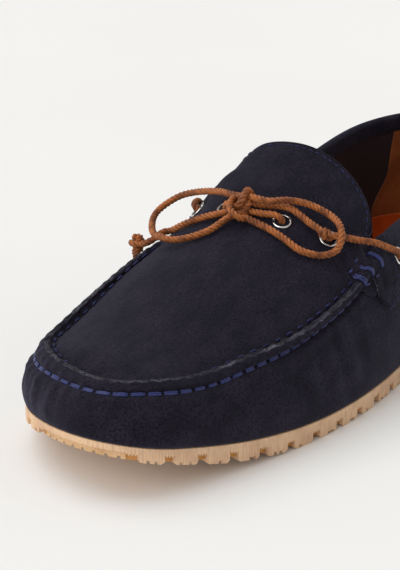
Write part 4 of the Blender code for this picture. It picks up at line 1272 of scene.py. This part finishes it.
class MOCCASIN_OT_lace_bars(bpy.types.Operator):
    """Run the lace through the eyelets round the collar"""

    bl_idname = "moccasin.lace_bars"
    bl_label = "Lace bars"

    def execute(self, context):
        lace = context.scene.moccasin_lace
        for name, side in SIDES.items():
            collar = [SEATS[f"collar_{name}_{n}"] for n in range(1, 6)]
            over_wing = [np.array([side * x, y, z]) for x, y, z in WING_CROSSING[name]]
            first = through_eyelet(SEATS[f"{name}_outer"], over_wing[0])[:3]
            routes = [first + over_wing + through_eyelet(collar[0], over_wing[-1])[:3][::-1]]
            for a, b in ((1, 2), (3, 4)):
                start, end = (side * turn_of(COLLAR_EYELETS[n]) for n in (a, b))
                turns = start + (end - start) * np.array([0.35, 0.5, 0.65])
                height = 1 - EYELET_DROP / wall_rise(turns)
                mid = wall(turns, height, GAP + BAND_WALL) + wall_normal(turns, height) * 2.75
                route = through_eyelet(collar[a], mid[0]) + list(mid)
                routes.append(route + through_eyelet(collar[b], mid[-1])[::-1])
            for number, route in enumerate(routes, 1):
                sheets = Sheets()
                path = soften(catmull(route, LACE_STEP), 8)
                twist_strands(sheets, path, lace.diameter / MM, lace.lay / MM, number)
                bar = sheets.make(f"lace_{name}_{number}", "lace", merge=0.001)
                hold(bar, "tan_lace", f"lace_bar_{name}_{number}")
        return {"FINISHED"}


class MOCCASIN_OT_eyelets(bpy.types.Operator):
    """Set the rolled eyelets in the apron and the collar"""

    bl_idname = "moccasin.eyelets"
    bl_label = "Eyelets"

    def execute(self, context):
        sizes = context.scene.moccasin_eyelets
        material = finishes(context.scene)["nickel"]
        guide = bpy.data.meshes.new("eyelet_guide")
        points = []
        for point, normal in SEATS.values():
            side = unit(np.cross(normal, (0.0, 0.3, 1.0)))
            other = np.cross(normal, side)
            for angle in (0, 2.0944, 4.1888):  # a small triangle on each seat
                points.append(point + side * math.cos(angle) + other * math.sin(angle))
        faces = np.arange(len(points)).reshape(-1, 3)
        guide.from_pydata(row_frame(points).tolist(), [], faces.tolist())
        names = {"Ring radius": sizes.ring, "Roll": sizes.roll, "Barrel depth": sizes.barrel}
        eyelets = grown("eyelets", guide, eyelet_tree(material), names, material)
        nodes = [f"eyelet_vamp_{name}" for name, _, _ in VAMP_EYELETS]
        nodes += [f"eyelet_collar_{name}_{n}" for name in SIDES for n in range(1, 6)]
        hold(eyelets, "nickel", *nodes)
        return {"FINISHED"}


class MOCCASIN_OT_side_wall(bpy.types.Operator):
    """Stretch the suede side wall from the sole up to the moc seam and topline"""

    bl_idname = "moccasin.side_wall"
    bl_label = "Side wall"

    def execute(self, context):
        pitch = context.scene.moccasin_thread.pitch / MM
        turns = np.linspace(-math.pi, math.pi, 681)[:-1]
        heights = np.concatenate([np.linspace(0, 0.78, 26), np.linspace(0.78, 1, 22)[1:]])
        t, h = np.meshgrid(turns, heights, indexing="ij")
        skin = wall(t, h, wall_relief(t, h, pitch))
        edge, inward = top_edge(turns), top_inward(turns)
        walked = np.interp(turns, SEAM_TURNS, SEAM_WALKED)
        rough = np.random.default_rng(11).normal(0, 0.06, (3, len(turns)))
        fray = 0.08 * ripple(walked * 2.3, 0.4) + rough
        scallop = -WAVE_DEPTH * pulled(walked, pitch) * seam_fade(edge[:, 1])
        lean = lip_lean(turns)
        tilt = LIP_TILT * lean / LEAN_MOST
        top = edge - inward * lean[:, None] + UP * scallop[:, None]
        rim = [(0.2, 0.14, fray[0]), (0.6, 0.2, fray[1]), (1.05, 0.16, fray[2]), (1.15, 0.02, 0)]
        rim = [
            top + inward * inset + UP * (rise + inset * tilt + uneven)[:, None]
            for inset, rise, uneven in rim
        ]
        skin[:, -1] = top
        rows = np.concatenate([skin, np.stack(rim, 1)], 1)
        slots = np.zeros((len(turns), rows.shape[1] - 1), int)
        # The lip's raw top takes the cut edge finish: fibre colour with a painted highlight.
        slots[:, -3:] = 1
        side = one_sheet("side_wall", "suede raw", rows, (0, 150, 30), ring=True, slot=slots)
        thicken(side, context.scene.moccasin_leather.thickness / MM)
        hold(side, "navy_suede", "upper")
        return {"FINISHED"}


def middle_across(along):
    """The line where the apron's halves meet; it sets out straight from the toe tip."""
    tip = top_edge(0.0)
    from_tip = tip[..., 0] - 0.19 * (along - tip[..., 1])
    crest = crest_across(along)
    return crest + (from_tip - crest) * (1 - ease(along, SPINE_FRONT, 80))


def tucked_apron(along, share):
    """The tongue's and apron's face with its flanks tucked inside the collar."""
    point = apron(along, share)
    tuck = TONGUE_INSET * np.abs(share) ** TUCK_POWER * ease(along, TUCK_START, THROAT)
    point[..., 0] -= np.sign(share) * tuck
    return point


def apron_outline():
    """Edge points, inward directions and tongue weight of both halves, and the spine's alongs."""
    turns = np.linspace(0, float(turn_of(THROAT)), 190)
    along = along_of(turns)
    halves = []
    for side in SIDES.values():
        edge, inward = top_edge(side * turns), top_inward(side * turns)
        weight = ease(along, TUCK_START, THROAT)
        ref = edge + (tucked_apron(along, side * TONGUE_EDGE) - edge) * weight[:, None]
        side_along = np.linspace(THROAT, TONGUE_END - TONGUE_SIDE_CUT * TONGUE_EDGE**3, 16)[1:-1]
        share = TONGUE_EDGE * (1 - np.linspace(0, 1, 60)[1:])
        end_along = TONGUE_END - TONGUE_SIDE_CUT * share**3
        tongue_side = tucked_apron(side_along, side * TONGUE_EDGE)
        tongue = soften(np.vstack([tongue_side, tucked_apron(end_along, side * share)]), 6)
        run = np.gradient(tongue[:, :2], axis=0)
        square = unit(side * np.stack([-run[:, 1], run[:, 0], 0 * run[:, 0]], -1))
        tongue[:, 2] = apron_height(tongue[:, 0], tongue[:, 1])
        weight = np.concatenate([weight, np.ones(len(tongue))])
        halves.append((np.vstack([ref, tongue]), np.vstack([inward, square]), weight))
    run = sum(walked_along(ref[:, :2]) for ref, _, _ in halves)
    return halves, SPINE_FRONT + (SPINE_REAR - SPINE_FRONT) * run / run[-1]


class MOCCASIN_OT_apron(bpy.types.Operator):
    """Lay the apron and tongue, one crowned panel inside the moc seam"""

    bl_idname = "moccasin.apron"
    bl_label = "Apron and tongue"

    def execute(self, context):
        pitch = context.scene.moccasin_thread.pitch / MM
        reach = np.linspace(0, 1, 44)[None, :, None] ** 1.35
        sheets = Sheets()
        halves, middle_along = apron_outline()
        for half, (side, (ref, inward, weight)) in enumerate(zip(SIDES.values(), halves)):
            seam = 1 - weight
            turn = side * turn_of(ref[:, 1])
            lean = lip_lean(turn)
            foot, foot_up = lip_foot(turn)
            walked = np.interp(turn, SEAM_TURNS, SEAM_WALKED)
            stitch = pulled(walked, pitch) * seam
            rough = np.random.default_rng(5 + half).normal(0, 0.06, (5, len(ref)))
            rough[:, 0] = 0  # so that the halves meet at the toe tip
            fray = (0.14 * ripple(walked * 1.7, 1.9) + rough) * seam
            fray[[0, 4]] = 0  # only the cut top is rough
            rows = []
            for uneven, (inset, rise, tongue_inset, tongue_rise) in zip(fray, APRON_EDGE):
                rise = rise + inset * LIP_TILT * lean / LEAN_MOST + uneven
                rise = rise * seam - WAVE_DEPTH * stitch * seam + tongue_rise * weight
                inset = (inset - lean) * seam + tongue_inset * weight
                rows.append(ref + inward * inset[:, None] + UP * rise[:, None])
            base = ref + inward * (foot * seam + weight)[:, None]
            ground = apron_height(base[:, 0], base[:, 1])
            sink = np.maximum((ground - (ref[:, 2] + foot_up)) * seam, 0)
            start = base[:, None, :2]
            spine = np.stack([middle_across(middle_along), middle_along], -1)[:, None]
            flat = start + (spine - start) * reach
            away = np.linalg.norm(flat - start, axis=-1)
            dimple = 0.3 * stitch[:, None] * np.exp(-((away / 2.2) ** 2))
            soft = 0.35 * ripple(flat[..., 0] * 0.09 + flat[..., 1] * 0.05, 2.2)
            height = apron_height(flat[..., 0], flat[..., 1]) + soft * ease(away, 4, 16)
            height = height - sink[:, None] * np.exp(-((away / 4.6) ** 2)) - dimple
            grid = np.concatenate([np.stack(rows, 1), np.dstack([flat, height])], 1)
            slots = np.zeros((grid.shape[0] - 1, grid.shape[1] - 1), int)
            # The raw top rows take the cut edge finish: fibre colour with a painted highlight.
            slots[:, :2] = 1
            sheets.grid(grid, slot=slots, flip=half == 1)
        panel = sheets.make("apron_and_tongue", "suede raw", merge=0.01, away_from=(0, 100, 0))
        hold(thicken(panel, 1.5, rim=1), "navy_suede", "tongue")
        return {"FINISHED"}


def wing_sections(side, along):
    """Ten places across the wing, from its bed on the apron over the seam to its lower edge."""
    along = np.asarray(along, float)
    turn = side * turn_of(along)
    edge, inward, rise = top_edge(turn), top_inward(turn), wall_rise(turn)
    run = top_edge(turn + side * NUDGE) - top_edge(turn - side * NUDGE)
    hang = np.interp(along, WING_DROP["along"], WING_DROP["drop"])
    front = ease(along, WING_FRONT - 1.0, WING_FRONT + 5.0)
    sunk = -1.3 * (1 - front)
    behind = ease(along, 150.5, 156.5)[..., None]
    over_band = 1.7 * ease(along, 138.5, 150)
    swollen = front * (1 - 0.45 * ease(along, 151, 157))

    def on_apron(inset, lift):
        point = edge + inward * inset
        point[..., 2] = apron_height(point[..., 0], point[..., 1]) + lift
        return point

    def over_topline(inset, lift):
        return edge + inward * inset + UP * lift

    def on_wall(drop, proud):
        return wall(turn, 1 - drop / rise, proud + over_band)

    def on_roll(off, raised):
        """On the round roll: off runs from the seam, inward over the apron or down the wall."""
        if off < 0:
            near, slide = on_apron(2.0, 0.0) - edge, -off
            square = side * np.cross(run, near)
        else:
            near = wall(turn, 1 - 2.0 / rise) - edge
            slide = np.minimum(off, 0.45 * hang)[..., None]
            square = side * np.cross(near, run)
        crown = math.sqrt(ROLL_RADIUS**2 - off**2) - ROLL_RADIUS
        height = (crown + raised * swollen + sunk)[..., None]
        return edge + unit(near) * slide + unit(square) * height

    laid = [
        (on_apron(9.0, -0.7), over_topline(3.8, -1.6)),
        (on_apron(6.6, -0.2 + sunk), over_topline(3.7, 0.4)),
        (on_apron(4.6, 0.25 * front + sunk), over_topline(2.9, 1.5)),
        (on_roll(-2.4, ROLL_HEIGHT), over_topline(1.9, 2.3)),
        (on_roll(-0.8, ROLL_HEIGHT), over_topline(0.4, 2.7)),
    ]
    laid = [ahead * (1 - behind) + rear * behind for ahead, rear in laid]
    middle = np.minimum(3.0, 0.5 * hang)
    laid += [
        on_roll(0.9, ROLL_HEIGHT + 0.2),
        on_wall(middle, 0.2 + 0.7 * swollen),
        on_wall((middle + hang) / 2, 0.2 + 0.5 * front),
        on_wall(0.92 * hang, 0.2 + 0.8 * front),
        on_wall(hang, 0.8 * front),
    ]
    return np.stack(laid)


def across_wing(points, place):
    """Read a smooth curve through stacked points at places from 0 to their last."""
    padded = np.concatenate([2 * points[:1] - points[1:2], points, 2 * points[-1:] - points[-2:-1]])
    first = np.clip(np.floor(place).astype(int), 0, len(points) - 2)
    where = np.indices(first.shape)
    around = [padded[(first + n, *where)] for n in range(4)]
    return spline_step(*around, (place - first)[..., None])


def wing_surface(side, along, place, lift=0.0):
    """Outer face of the wing; place runs from 0 on the apron to 9 at its lower edge."""
    along, place = np.broadcast_arrays(np.asarray(along, float), np.asarray(place, float))
    points = wing_sections(side, along)
    face = across_wing(points, place)
    over = across_wing(points, place + 0.05) - across_wing(points, place - 0.05)
    run = across_wing(wing_sections(side, along + 0.2), place) - face
    return face + side * unit(np.cross(over, run)) * np.asarray(lift)[..., None]


class MOCCASIN_OT_wings(bpy.types.Operator):
    """Wrap the apron's wings over the ends of the moc seam"""

    bl_idname = "moccasin.wings"
    bl_label = "Wings"

    def execute(self, context):
        places = np.linspace(0, 9, 73)
        a, s = np.meshgrid(np.linspace(WING_FRONT, WING_REAR, 64), places, indexing="ij")
        slots = (places[1:] > 8.7).astype(int)  # its cut lower edge: a lighter strip of painted highlight along its face
        for name, side in SIDES.items():
            face = wing_surface(side, a, s)
            laid = {"slot": slots, "flip": side < 0}
            wing = one_sheet(f"wing_{name}", "suede raw", face, (0, 145, 30), **laid)
            hold(thicken(wing, 1.0, rim=1), "navy_suede")
        return {"FINISHED"}


class MOCCASIN_OT_collar(bpy.types.Operator):
    """Fold the collar's casing round the topline"""

    bl_idname = "moccasin.collar"
    bl_label = "Collar"

    def execute(self, context):
        first = float(turn_of(141))
        turns = np.linspace(first, 2 * math.pi - first, 420)
        along, rise = along_of(turns), wall_rise(turns)
        depth = np.interp(along, CASING_DEPTH["along"], CASING_DEPTH["depth"])
        rows = []
        for share in np.linspace(1, 0, 26):
            drop = share * depth
            dents = [
                bump_at(np.hypot(along - eyelet, drop - EYELET_DROP), 0, 6.5)
                for eyelet in COLLAR_EYELETS
            ]
            soft = 0.32 * np.sin(math.pi * share) + 0.18 * ripple(along * 0.35 + share * 4, 0.9)
            proud = GAP + BAND_WALL + soft - 0.55 * sum(dents) - 0.45 * bump_at(drop, 3.4, 0.9)
            rows.append(wall(turns, 1 - drop / rise, proud - 0.9 * (share > 0.995)))
        edge, inward = top_edge(turns), top_inward(turns)
        for inset, lift in ((-0.9, 0.9), (0.2, 1.35), (1.4, 1.3), (2.5, 0.6), (3.0, -0.6)):
            rows.append(edge + inward * inset + UP * lift)
        for drop in np.linspace(2.2, BINDING, 6):
            bulge = 0.35 * math.sin(math.pi * (drop - 2) / (BINDING - 2))
            rows.append(wall(turns, 1 - drop / rise, -3.1 - bulge))
        rows.append(wall(turns, 1 - BINDING / rise, -2.3))
        collar = one_sheet("collar_casing", "suede raw", np.stack(rows, 1), (0, 215, 40))
        hold(thicken(collar, 0.9, rim=1), "navy_suede", "collar_band")
        return {"FINISHED"}


def inside_outline(inset, steps, columns_across):
    """Rows of points across the shoe's outline from toe to heel, and their shares across it."""
    turns = np.linspace(0, math.pi, steps)
    right, left = (feather(side * turns) - outward(side * turns) * inset for side in (1, -1))
    share = np.linspace(0, 1, columns_across)[None, :]
    return left[:, None] + (right - left)[:, None] * share[..., None], share


class MOCCASIN_OT_lining(bpy.types.Operator):
    """Line the inside: dark at the sides, tan round the heel, and the tan sock"""

    bl_idname = "moccasin.lining"
    bl_label = "Lining and sock"

    def execute(self, context):
        turns = np.linspace(-math.pi, math.pi, 361)[:-1]
        t, h = np.meshgrid(turns, np.linspace(0.02, 1, 26), indexing="ij")
        slack = 0.1 * ripple(np.interp(t, EDGE_TURNS, EDGE_WALKED) * 0.07 + h * 3, 1.3)
        skin = wall(t, h, -(UPPER_WALL + 0.1) + slack)
        laid = {"inside_out": True, "ring": True}
        hold(one_sheet("side_lining", "lining", skin, (0, 150, 30), **laid), "navy_suede")
        edge = float(turn_of(HEEL_LINING))
        shares = np.linspace(-1, 1, 90)
        for name, skin, low, high, clear in (
            ("heel_lining", "heel", 0.27, 0.985, 0.55),
            ("heel_cup", "tan", 0.02, 0.3, 0.85),
        ):
            s, h = np.meshgrid(shares, np.linspace(low, high, 26), indexing="ij")
            t = math.pi + s * (math.pi - edge + 0.09 * (1 - ease(h, 0.32, 0.62)))
            patch = one_sheet(name, skin, wall(t, h, -(UPPER_WALL + clear)), flip=True)
            hold(thicken(patch, 0.6), "tan_leather")
        top, share = inside_outline(UPPER_WALL + INSOLE_INSET - 0.5, 120, 25)
        off_middle = 2 * np.abs(share - 0.5)
        edge_lift = 1.2 * off_middle**8 * ease(top[..., 1], 60, 110)
        cup = 1.2 * off_middle**3 * ease(top[..., 1], 235, 285)
        top[..., 2] = feather_height(top[..., 1]) + GAP + INSOLE_THICK + edge_lift + cup
        laid = {"merge": 0.01, "places": top[..., :2]}
        sock = one_sheet("insole_sock", "tan", top, (0, 150, -500), **laid)
        hold(thicken(sock, INSOLE_THICK), "tan_leather", "insole")
        return {"FINISHED"}


def gap_centres():
    """Distances of the gaps between edge lugs round the outline, in order."""
    lateral = np.arange(FIRST_LATERAL_GAP, EDGE_WALKED[-1], LUG_PITCH)
    medial = np.arange(FIRST_MEDIAL_GAP, EDGE_WALKED[0], -LUG_PITCH)
    return np.concatenate([medial[::-1], lateral])


def lug_notches(number, centre):
    """Notch places in a lug from its middle; the front and lateral lugs carry two or one."""
    if centre < -30:
        return []
    if centre > 190:
        return [0.4]
    pair = [(-1.5, 2.5), (1.3, 3.2), (1.6, 3.0), (-0.6, 2.3)][number % 4]
    return pair[:1] if number % 3 == 1 else pair


class MOCCASIN_OT_sole(bpy.types.Operator):
    """Mould the sole: ribbed side, notched lugs, recesses in amber as painted shade, and studs"""

    bl_idname = "moccasin.sole"
    bl_label = "Sole"

    def execute(self, context):
        sole = context.scene.moccasin_sole
        notch_width, notch_depth = sole.notch_width / MM, sole.notch_depth / MM
        tooth, rib_depth = sole.tooth / MM, sole.rib_depth / MM
        gaps = gap_centres()
        half_gap = sole.gap_width / MM / 2
        # Every step in the moulding gets a narrow pair of places, so that it comes out sharp.
        steps = [(gap + side, 0.02) for gap in gaps for side in (-half_gap, half_gap)]
        steps += [(gap + at, 0.05) for gap in gaps for at in (-1.5, -0.9, -0.3, 0.3, 0.9, 1.5)]
        notches = []
        for number, (a, b) in enumerate(zip(gaps + half_gap, gaps[1:] - half_gap)):
            centre = (a + b) / 2
            if abs(centre) > 10:
                notches += [centre + place - 0.6 for place in lug_notches(number, centre)]
        steps += [(at + side * notch_width, 0.03) for at in notches for side in (-0.5, 0.5)]
        toe_teeth = np.arange(-17.5, 15.5, 4.7)
        steps += [(at + side, 0.04) for at in toe_teeth for side in (0, TOE_TOOTH)]
        at, half = np.transpose(steps)
        even = np.linspace(EDGE_WALKED[0], EDGE_WALKED[-1], 1400)
        walked = np.unique(np.clip(np.concatenate([even, at - half, at + half]), even[0], even[-1]))
        turns = np.interp(walked, EDGE_WALKED, EDGE_TURNS)
        off = walked - gaps[np.argmin(np.abs(walked[:, None] - gaps[None, :]), axis=1)]
        in_gap = np.abs(off) < half_gap
        bumper = walked > gaps[gaps < 0].max() + half_gap
        bumper &= walked < gaps[gaps > 0].min() - half_gap
        place, away = feather(turns), outward(turns)
        along, across = place[:, 1], place[:, 0]
        ceiling = tread_height(along, across) + lug_height(along)
        tread = tread_height(along, across) - TREAD_DROP * ease(-along, -66, -46)
        crown = tooth * (np.abs((off + 1.5) % 1.2 - 0.3) < 0.3)
        behind, from_side = off > 0, half_gap - np.abs(off)
        cut = np.clip(np.where(behind, 0.8, 1.1) + from_side, 0, None) * np.where(behind, 0.9, 0.7)
        lug_low = tread + cut
        for at in notches:
            lug_low = np.where(np.abs(walked - at) < notch_width / 2, tread + notch_depth, lug_low)
        side_low = feather_height(along) - RIM_DROP
        bumper_low = ceiling * 0.62 + side_low * 0.38 - 0.55
        low = np.where(in_gap, ceiling + 0.25 - crown, np.where(bumper, bumper_low, lug_low))
        deep = np.where(bumper, 1.4, np.where(in_gap, SKIRT_INSET, LUG_DEPTH))
        base = np.where(bumper, tread, ceiling - AMBER_DROP)
        for at in toe_teeth:
            base = np.where(bumper & (walked > at) & (walked < at + TOE_TOOTH), tread + 0.9, base)
        rib = rib_depth * np.sin(walked * 2 * math.pi / 1.25 + 0.8 * ripple(walked * 0.4))
        rib = rib + 0.10 * ripple(walked * 1.9, 0.3)
        profile = [(4.0, side_low), (0.5, side_low), (0.18, side_low - 0.12)]
        profile.append((0.05 - 0.3 * rib, side_low - 0.5))
        for share in (0.25, 0.5, 0.75):
            profile.append((-0.05 - rib, (side_low - 0.5) * (1 - share) + (low + 0.3) * share))
        profile += [(-rib, low + 0.25), (0.22, low), (deep - 0.02, low), (deep, base)]
        profile += [(deep + 2.5, base), (LUG_DEPTH + 1.0, base)]
        insets, levels = (np.stack([v + 0 * walked for v in values], 1) for values in zip(*profile))
        points = place[:, None] - away[:, None] * insets[..., None]
        points[..., 2] = levels
        slots = np.zeros((len(walked) - 1, points.shape[1] - 1), int)
        # The gaps' recessed faces take the amber rubber, painted shade in the recesses.
        slots[:, -3:] = (in_gap[:-1] | in_gap[1:])[:, None]
        # The toe bumper's lower band takes the darker rubber, painted shade under the step above
        # it.
        slots[:, -3:-1] += 2 * (bumper[:-1] & bumper[1:])[:, None]
        sheets = Sheets()
        sheets.grid(points, slot=slots, places=np.dstack([walked[:, None] + 0 * levels, levels]))
        for inset, up_side in ((LUG_DEPTH + 1.0, False), (4.0, True)):
            field, _ = inside_outline(inset, 140, 9)
            across, along = field[..., 0], field[..., 1]
            level = tread_height(along, across) + lug_height(along) - AMBER_DROP
            field[..., 2] = feather_height(along) - RIM_DROP if up_side else level
            sheets.grid(field, flip=not up_side, places=field[..., :2])
        self.studs(sheets)
        body = sheets.make("cleated_sole", "gum amber toe", merge=0.005)
        body.data.set_sharp_from_angle(angle=math.radians(32))
        hold(body, "gum_rubber", "outsole")
        return {"FINISHED"}

    def studs(self, sheets):
        """Round-edged studs in rows under the sole."""
        angles = np.linspace(0, 2 * math.pi, 21)[:-1]
        profile = [(0.0, 0.0), (0.78, 0.0), (0.93, 0.12), (1.0, 0.4), (1.0, 2.2)]
        for row, along in enumerate(np.arange(STUD_FIRST, STUD_LAST, STUD_PITCH * 0.9)):
            turn = turn_of(along, 0, LENGTH)
            room = LUG_DEPTH + STUD_RADIUS + 2.5
            right, left = feather_across(turn) - room, feather_across(-turn) + room
            for across in np.arange(-60 + STUD_PITCH / 2 * (row % 2), 60, STUD_PITCH):
                if not left <= across <= right:
                    continue
                rings = []
                for radius, height in profile:
                    x = across + STUD_RADIUS * radius * np.cos(angles)
                    y = along + STUD_RADIUS * radius * np.sin(angles)
                    rings.append(np.stack([x, y, tread_height(y, x) + height], -1))
                sheets.grid(np.stack(rings), tube=True, flip=True)


class MOCCASIN_OT_stitches(bpy.types.Operator):
    """Sew the moc seam, wings, tongue, collar and side seams"""

    bl_idname = "moccasin.stitches"
    bl_label = "Stitches"

    def execute(self, context):
        thread = context.scene.moccasin_thread
        material = finishes(context.scene)["thread"]
        tree = stitch_tree(material)

        def sew(name, sizes, *lines):
            """Lay stitches along lines."""
            guide = path_guide(f"{name}_guide", lines)
            hold(grown(name, guide, tree, sizes, material), "navy_suede")

        pitch = thread.pitch / MM
        bold = {
            "Pitch": thread.pitch,
            "Stitch length": thread.stitch,
            "Thread": thread.thread,
            "Spread": thread.thread * 0.36,
        }
        small = bold | {"Stitch length": 0.0035, "Thread": 0.00105, "Spread": 0.0}
        reach = np.interp(float(turn_of(RAW_SEAM_END + 2)), SEAM_TURNS, SEAM_WALKED)
        count = int(reach / pitch)
        walked = np.linspace(-count * pitch, count * pitch, 1200) + pitch / 2
        turns = np.interp(walked, SEAM_WALKED, SEAM_TURNS)
        height = 1 - stitch_drop(turns) / wall_rise(turns)
        outer = wall(turns, height, -0.75 - 0.22 * ease(walked, 70, 105))
        sew("seam_stitches_outer", bold, (outer, wall_normal(turns, height)))
        foot, foot_up = lip_foot(turns)
        inner = top_edge(turns) + top_inward(turns) * (foot + 0.5)[:, None]
        inner[:, 2] += foot_up + 0.4 + 0.35 * ease(-turns, 0.1, 0.4)
        sew("seam_stitches_inner", small, (inner, top_inward(turns) * 0.8 + UP * 0.6))
        fine = {
            "Pitch": thread.fine_pitch,
            "Stitch length": thread.fine_pitch * 0.72,
            "Thread": thread.fine_thread,
            "Spread": 0.0,
        }
        sew("machine_stitches", fine, *self.machine_lines())
        self.whips()
        return {"FINISHED"}

    def machine_lines(self):
        """Lines along the collar's casing, the side seams, the wings' rear and the tongue."""
        first = float(turn_of(146))
        turns = np.linspace(first, 2 * math.pi - first, 900)
        height = 1 - (COLLAR_BAND_DEPTH - 3.2) / wall_rise(turns)
        lines = [(wall(turns, height, GAP + BAND_WALL + 0.15), wall_normal(turns, height))]
        for side in SIDES.values():
            turn = side * turn_of(SIDE_SEAM + 2.6, 0, LENGTH)
            heights = np.linspace(0.06, 0.52, 60)
            lines.append((wall(turn, heights, 0.1), wall_normal(turn, heights)))
            along = np.full(60, WING_REAR - 3.0)
            rear = wing_surface(side, along, np.linspace(4.8, 8.3, 60), 0.1)
            lines.append((rear, wall_normal(side * turn_of(along), 0.8)))
        for points, inward, weight in apron_outline()[0]:
            keep = (weight > 0.999) & (points[:, 1] > 149.6)
            inset = 0.7 + 1.5 * ease(points[keep][:, 1:2], 150, 157)
            path = points[keep] + inward[keep] * inset
            path[:, 2] = apron_height(path[:, 0], path[:, 1]) + 0.1
            share = np.clip(apron_share(path[:, 1], path[:, 0]), -TONGUE_EDGE, TONGUE_EDGE)
            lines.append((path, apron_normal(path[:, 1], share)))
        return lines

    def whips(self):
        """Thick stitches wrapped over the seam at each wing, and the small ones between."""
        u = np.linspace(0, 1, 44)
        bend = np.stack([(1 - u) * (1 - 2 * u), 4 * u * (1 - u), u * (2 * u - 1)])
        straight = np.stack([1 - u, u])[:, ::3]
        high, low = 0.8 * np.sin(math.pi * u) ** 0.35 - 0.35, 0.35 * np.sin(math.pi * u[::3]) - 0.1
        for name, side in SIDES.items():
            sheets = Sheets()
            for wrap in WHIP_WRAPS:
                along, place = np.transpose(wrap) @ bend
                for way in (-0.4, 0.4):
                    self.strand(sheets, wing_surface(side, along + way, place, high))
            for run in WHIP_RUNS:
                self.strand(sheets, wing_surface(side, *(np.transpose(run) @ straight), low))
            whip = sheets.make(f"whip_stitches_{name}", "thread", merge=0.001)
            hold(whip, "navy_suede")

    def strand(self, sheets, path):
        """One round thread that tapers into the leather at both ends."""
        size = 0.45 * np.clip(np.sin(math.pi * np.linspace(0, 1, len(path))) * 3, 0.12, 1) ** 0.6
        sheets.grid(tube_rings(path, size, *carried_frames(path)), tube=True, flip=True)


class MOCCASIN_OT_stage(bpy.types.Operator):
    """Lay the plain floor and set the soft lights"""

    bl_idname = "moccasin.stage"
    bl_label = "Stage"

    def execute(self, context):
        scene = context.scene
        stage = scene.moccasin_stage
        scene.view_settings.view_transform = "Standard"
        scene.view_settings.look = "None"
        mesh = bpy.data.meshes.new("floor")
        far = 6.0
        corners = [(-far, -far, 0), (far, -far, 0), (far, far, 0), (-far, far, 0)]
        mesh.from_pydata(corners, [], [(0, 1, 2, 3)])
        made, tree, shader = finish("matt_studio_sweep", 0.9, specular_ior_level=0.1)
        cloud = noise(tree, mm_coordinates(tree), 0.004, 2)
        pale = list(stage.floor)
        shade = blend_by(tree, cloud, [c * 0.985 for c in pale], pale)
        tree.links.new(shade, shader.inputs["Base Color"])
        mesh.materials.append(made)
        floor = link("floor", mesh)
        scene.world = bpy.data.worlds.new("soft_studio")
        scene.world.use_nodes = True
        sky = scene.world.node_tree
        background = sky.nodes["Background"]
        background.inputs["Color"].default_value = (1.0, 0.955, 0.91, 1)
        background.inputs["Strength"].default_value = stage.fill
        rays = add_node(sky, "ShaderNodeLightPath").outputs["Is Camera Ray"]
        shown = put(sky, "ShaderNodeBackground", {"Color": (0.9, 0.9, 0.9, 1), "Strength": 0.985})
        either = put(sky, "ShaderNodeMixShader", {0: rays, 1: background.outputs[0], 2: shown})
        sky.links.new(either, sky.nodes["World Output"].inputs["Surface"])
        lamps = (
            ("overhead_softbox", stage.key, 55, (-0.42, -0.12, 1.0), (0.93, 0.97, 1.0)),
            ("front_softbox", stage.front, 50, (-0.22, -0.95, 0.5), (1.0, 0.99, 0.97)),
        )
        for name, energy, spread, toward, colour in lamps:
            lamp = bpy.data.lights.new(name, "SUN")
            lamp.energy, lamp.angle, lamp.color = energy, math.radians(spread), colour
            turned = Vector(toward).to_track_quat("Z", "Y").to_euler()
            link(name, lamp).rotation_euler = turned
        return {"FINISHED"}


class MOCCASIN_PT_panel(bpy.types.Panel):
    """Builds the moccasin piece by piece"""

    bl_idname = "MOCCASIN_PT_panel"
    bl_label = "Driving moccasin"
    bl_space_type = "VIEW_3D"
    bl_region_type = "UI"
    bl_category = "Moccasin"

    def draw(self, context):
        for operator in OPERATORS:
            self.layout.operator(operator.bl_idname)
        for name in SETTINGS:
            group = getattr(context.scene, name)
            box = self.layout.box()
            for item in group.bl_rna.properties:
                if not item.is_readonly:
                    box.prop(group, item.identifier)


SETTINGS = {
    "moccasin_leather": MoccasinLeather,
    "moccasin_thread": MoccasinThread,
    "moccasin_lace": MoccasinLace,
    "moccasin_eyelets": MoccasinEyelets,
    "moccasin_sole": MoccasinSole,
    "moccasin_stage": MoccasinStage,
}
OPERATORS = (
    MOCCASIN_OT_camera,
    MOCCASIN_OT_bow,
    MOCCASIN_OT_lace_bars,
    MOCCASIN_OT_eyelets,
    MOCCASIN_OT_side_wall,
    MOCCASIN_OT_apron,
    MOCCASIN_OT_wings,
    MOCCASIN_OT_collar,
    MOCCASIN_OT_lining,
    MOCCASIN_OT_sole,
    MOCCASIN_OT_stitches,
    MOCCASIN_OT_stage,
)


def register():
    """Add the settings, the operators and the panel."""
    for name, group in SETTINGS.items():
        bpy.utils.register_class(group)
        setattr(bpy.types.Scene, name, PointerProperty(type=group))
    for made in (*OPERATORS, MOCCASIN_PT_panel):
        bpy.utils.register_class(made)


def unregister():
    """Take them away again."""
    for made in (MOCCASIN_PT_panel, *OPERATORS[::-1]):
        bpy.utils.unregister_class(made)
    for name, group in SETTINGS.items():
        delattr(bpy.types.Scene, name)
        bpy.utils.unregister_class(group)


def main():
    """Build the whole shoe."""
    register()
    for operator in OPERATORS:
        group, name = operator.bl_idname.split(".")
        getattr(getattr(bpy.ops, group), name)()


if __name__ == "__main__":
    main()
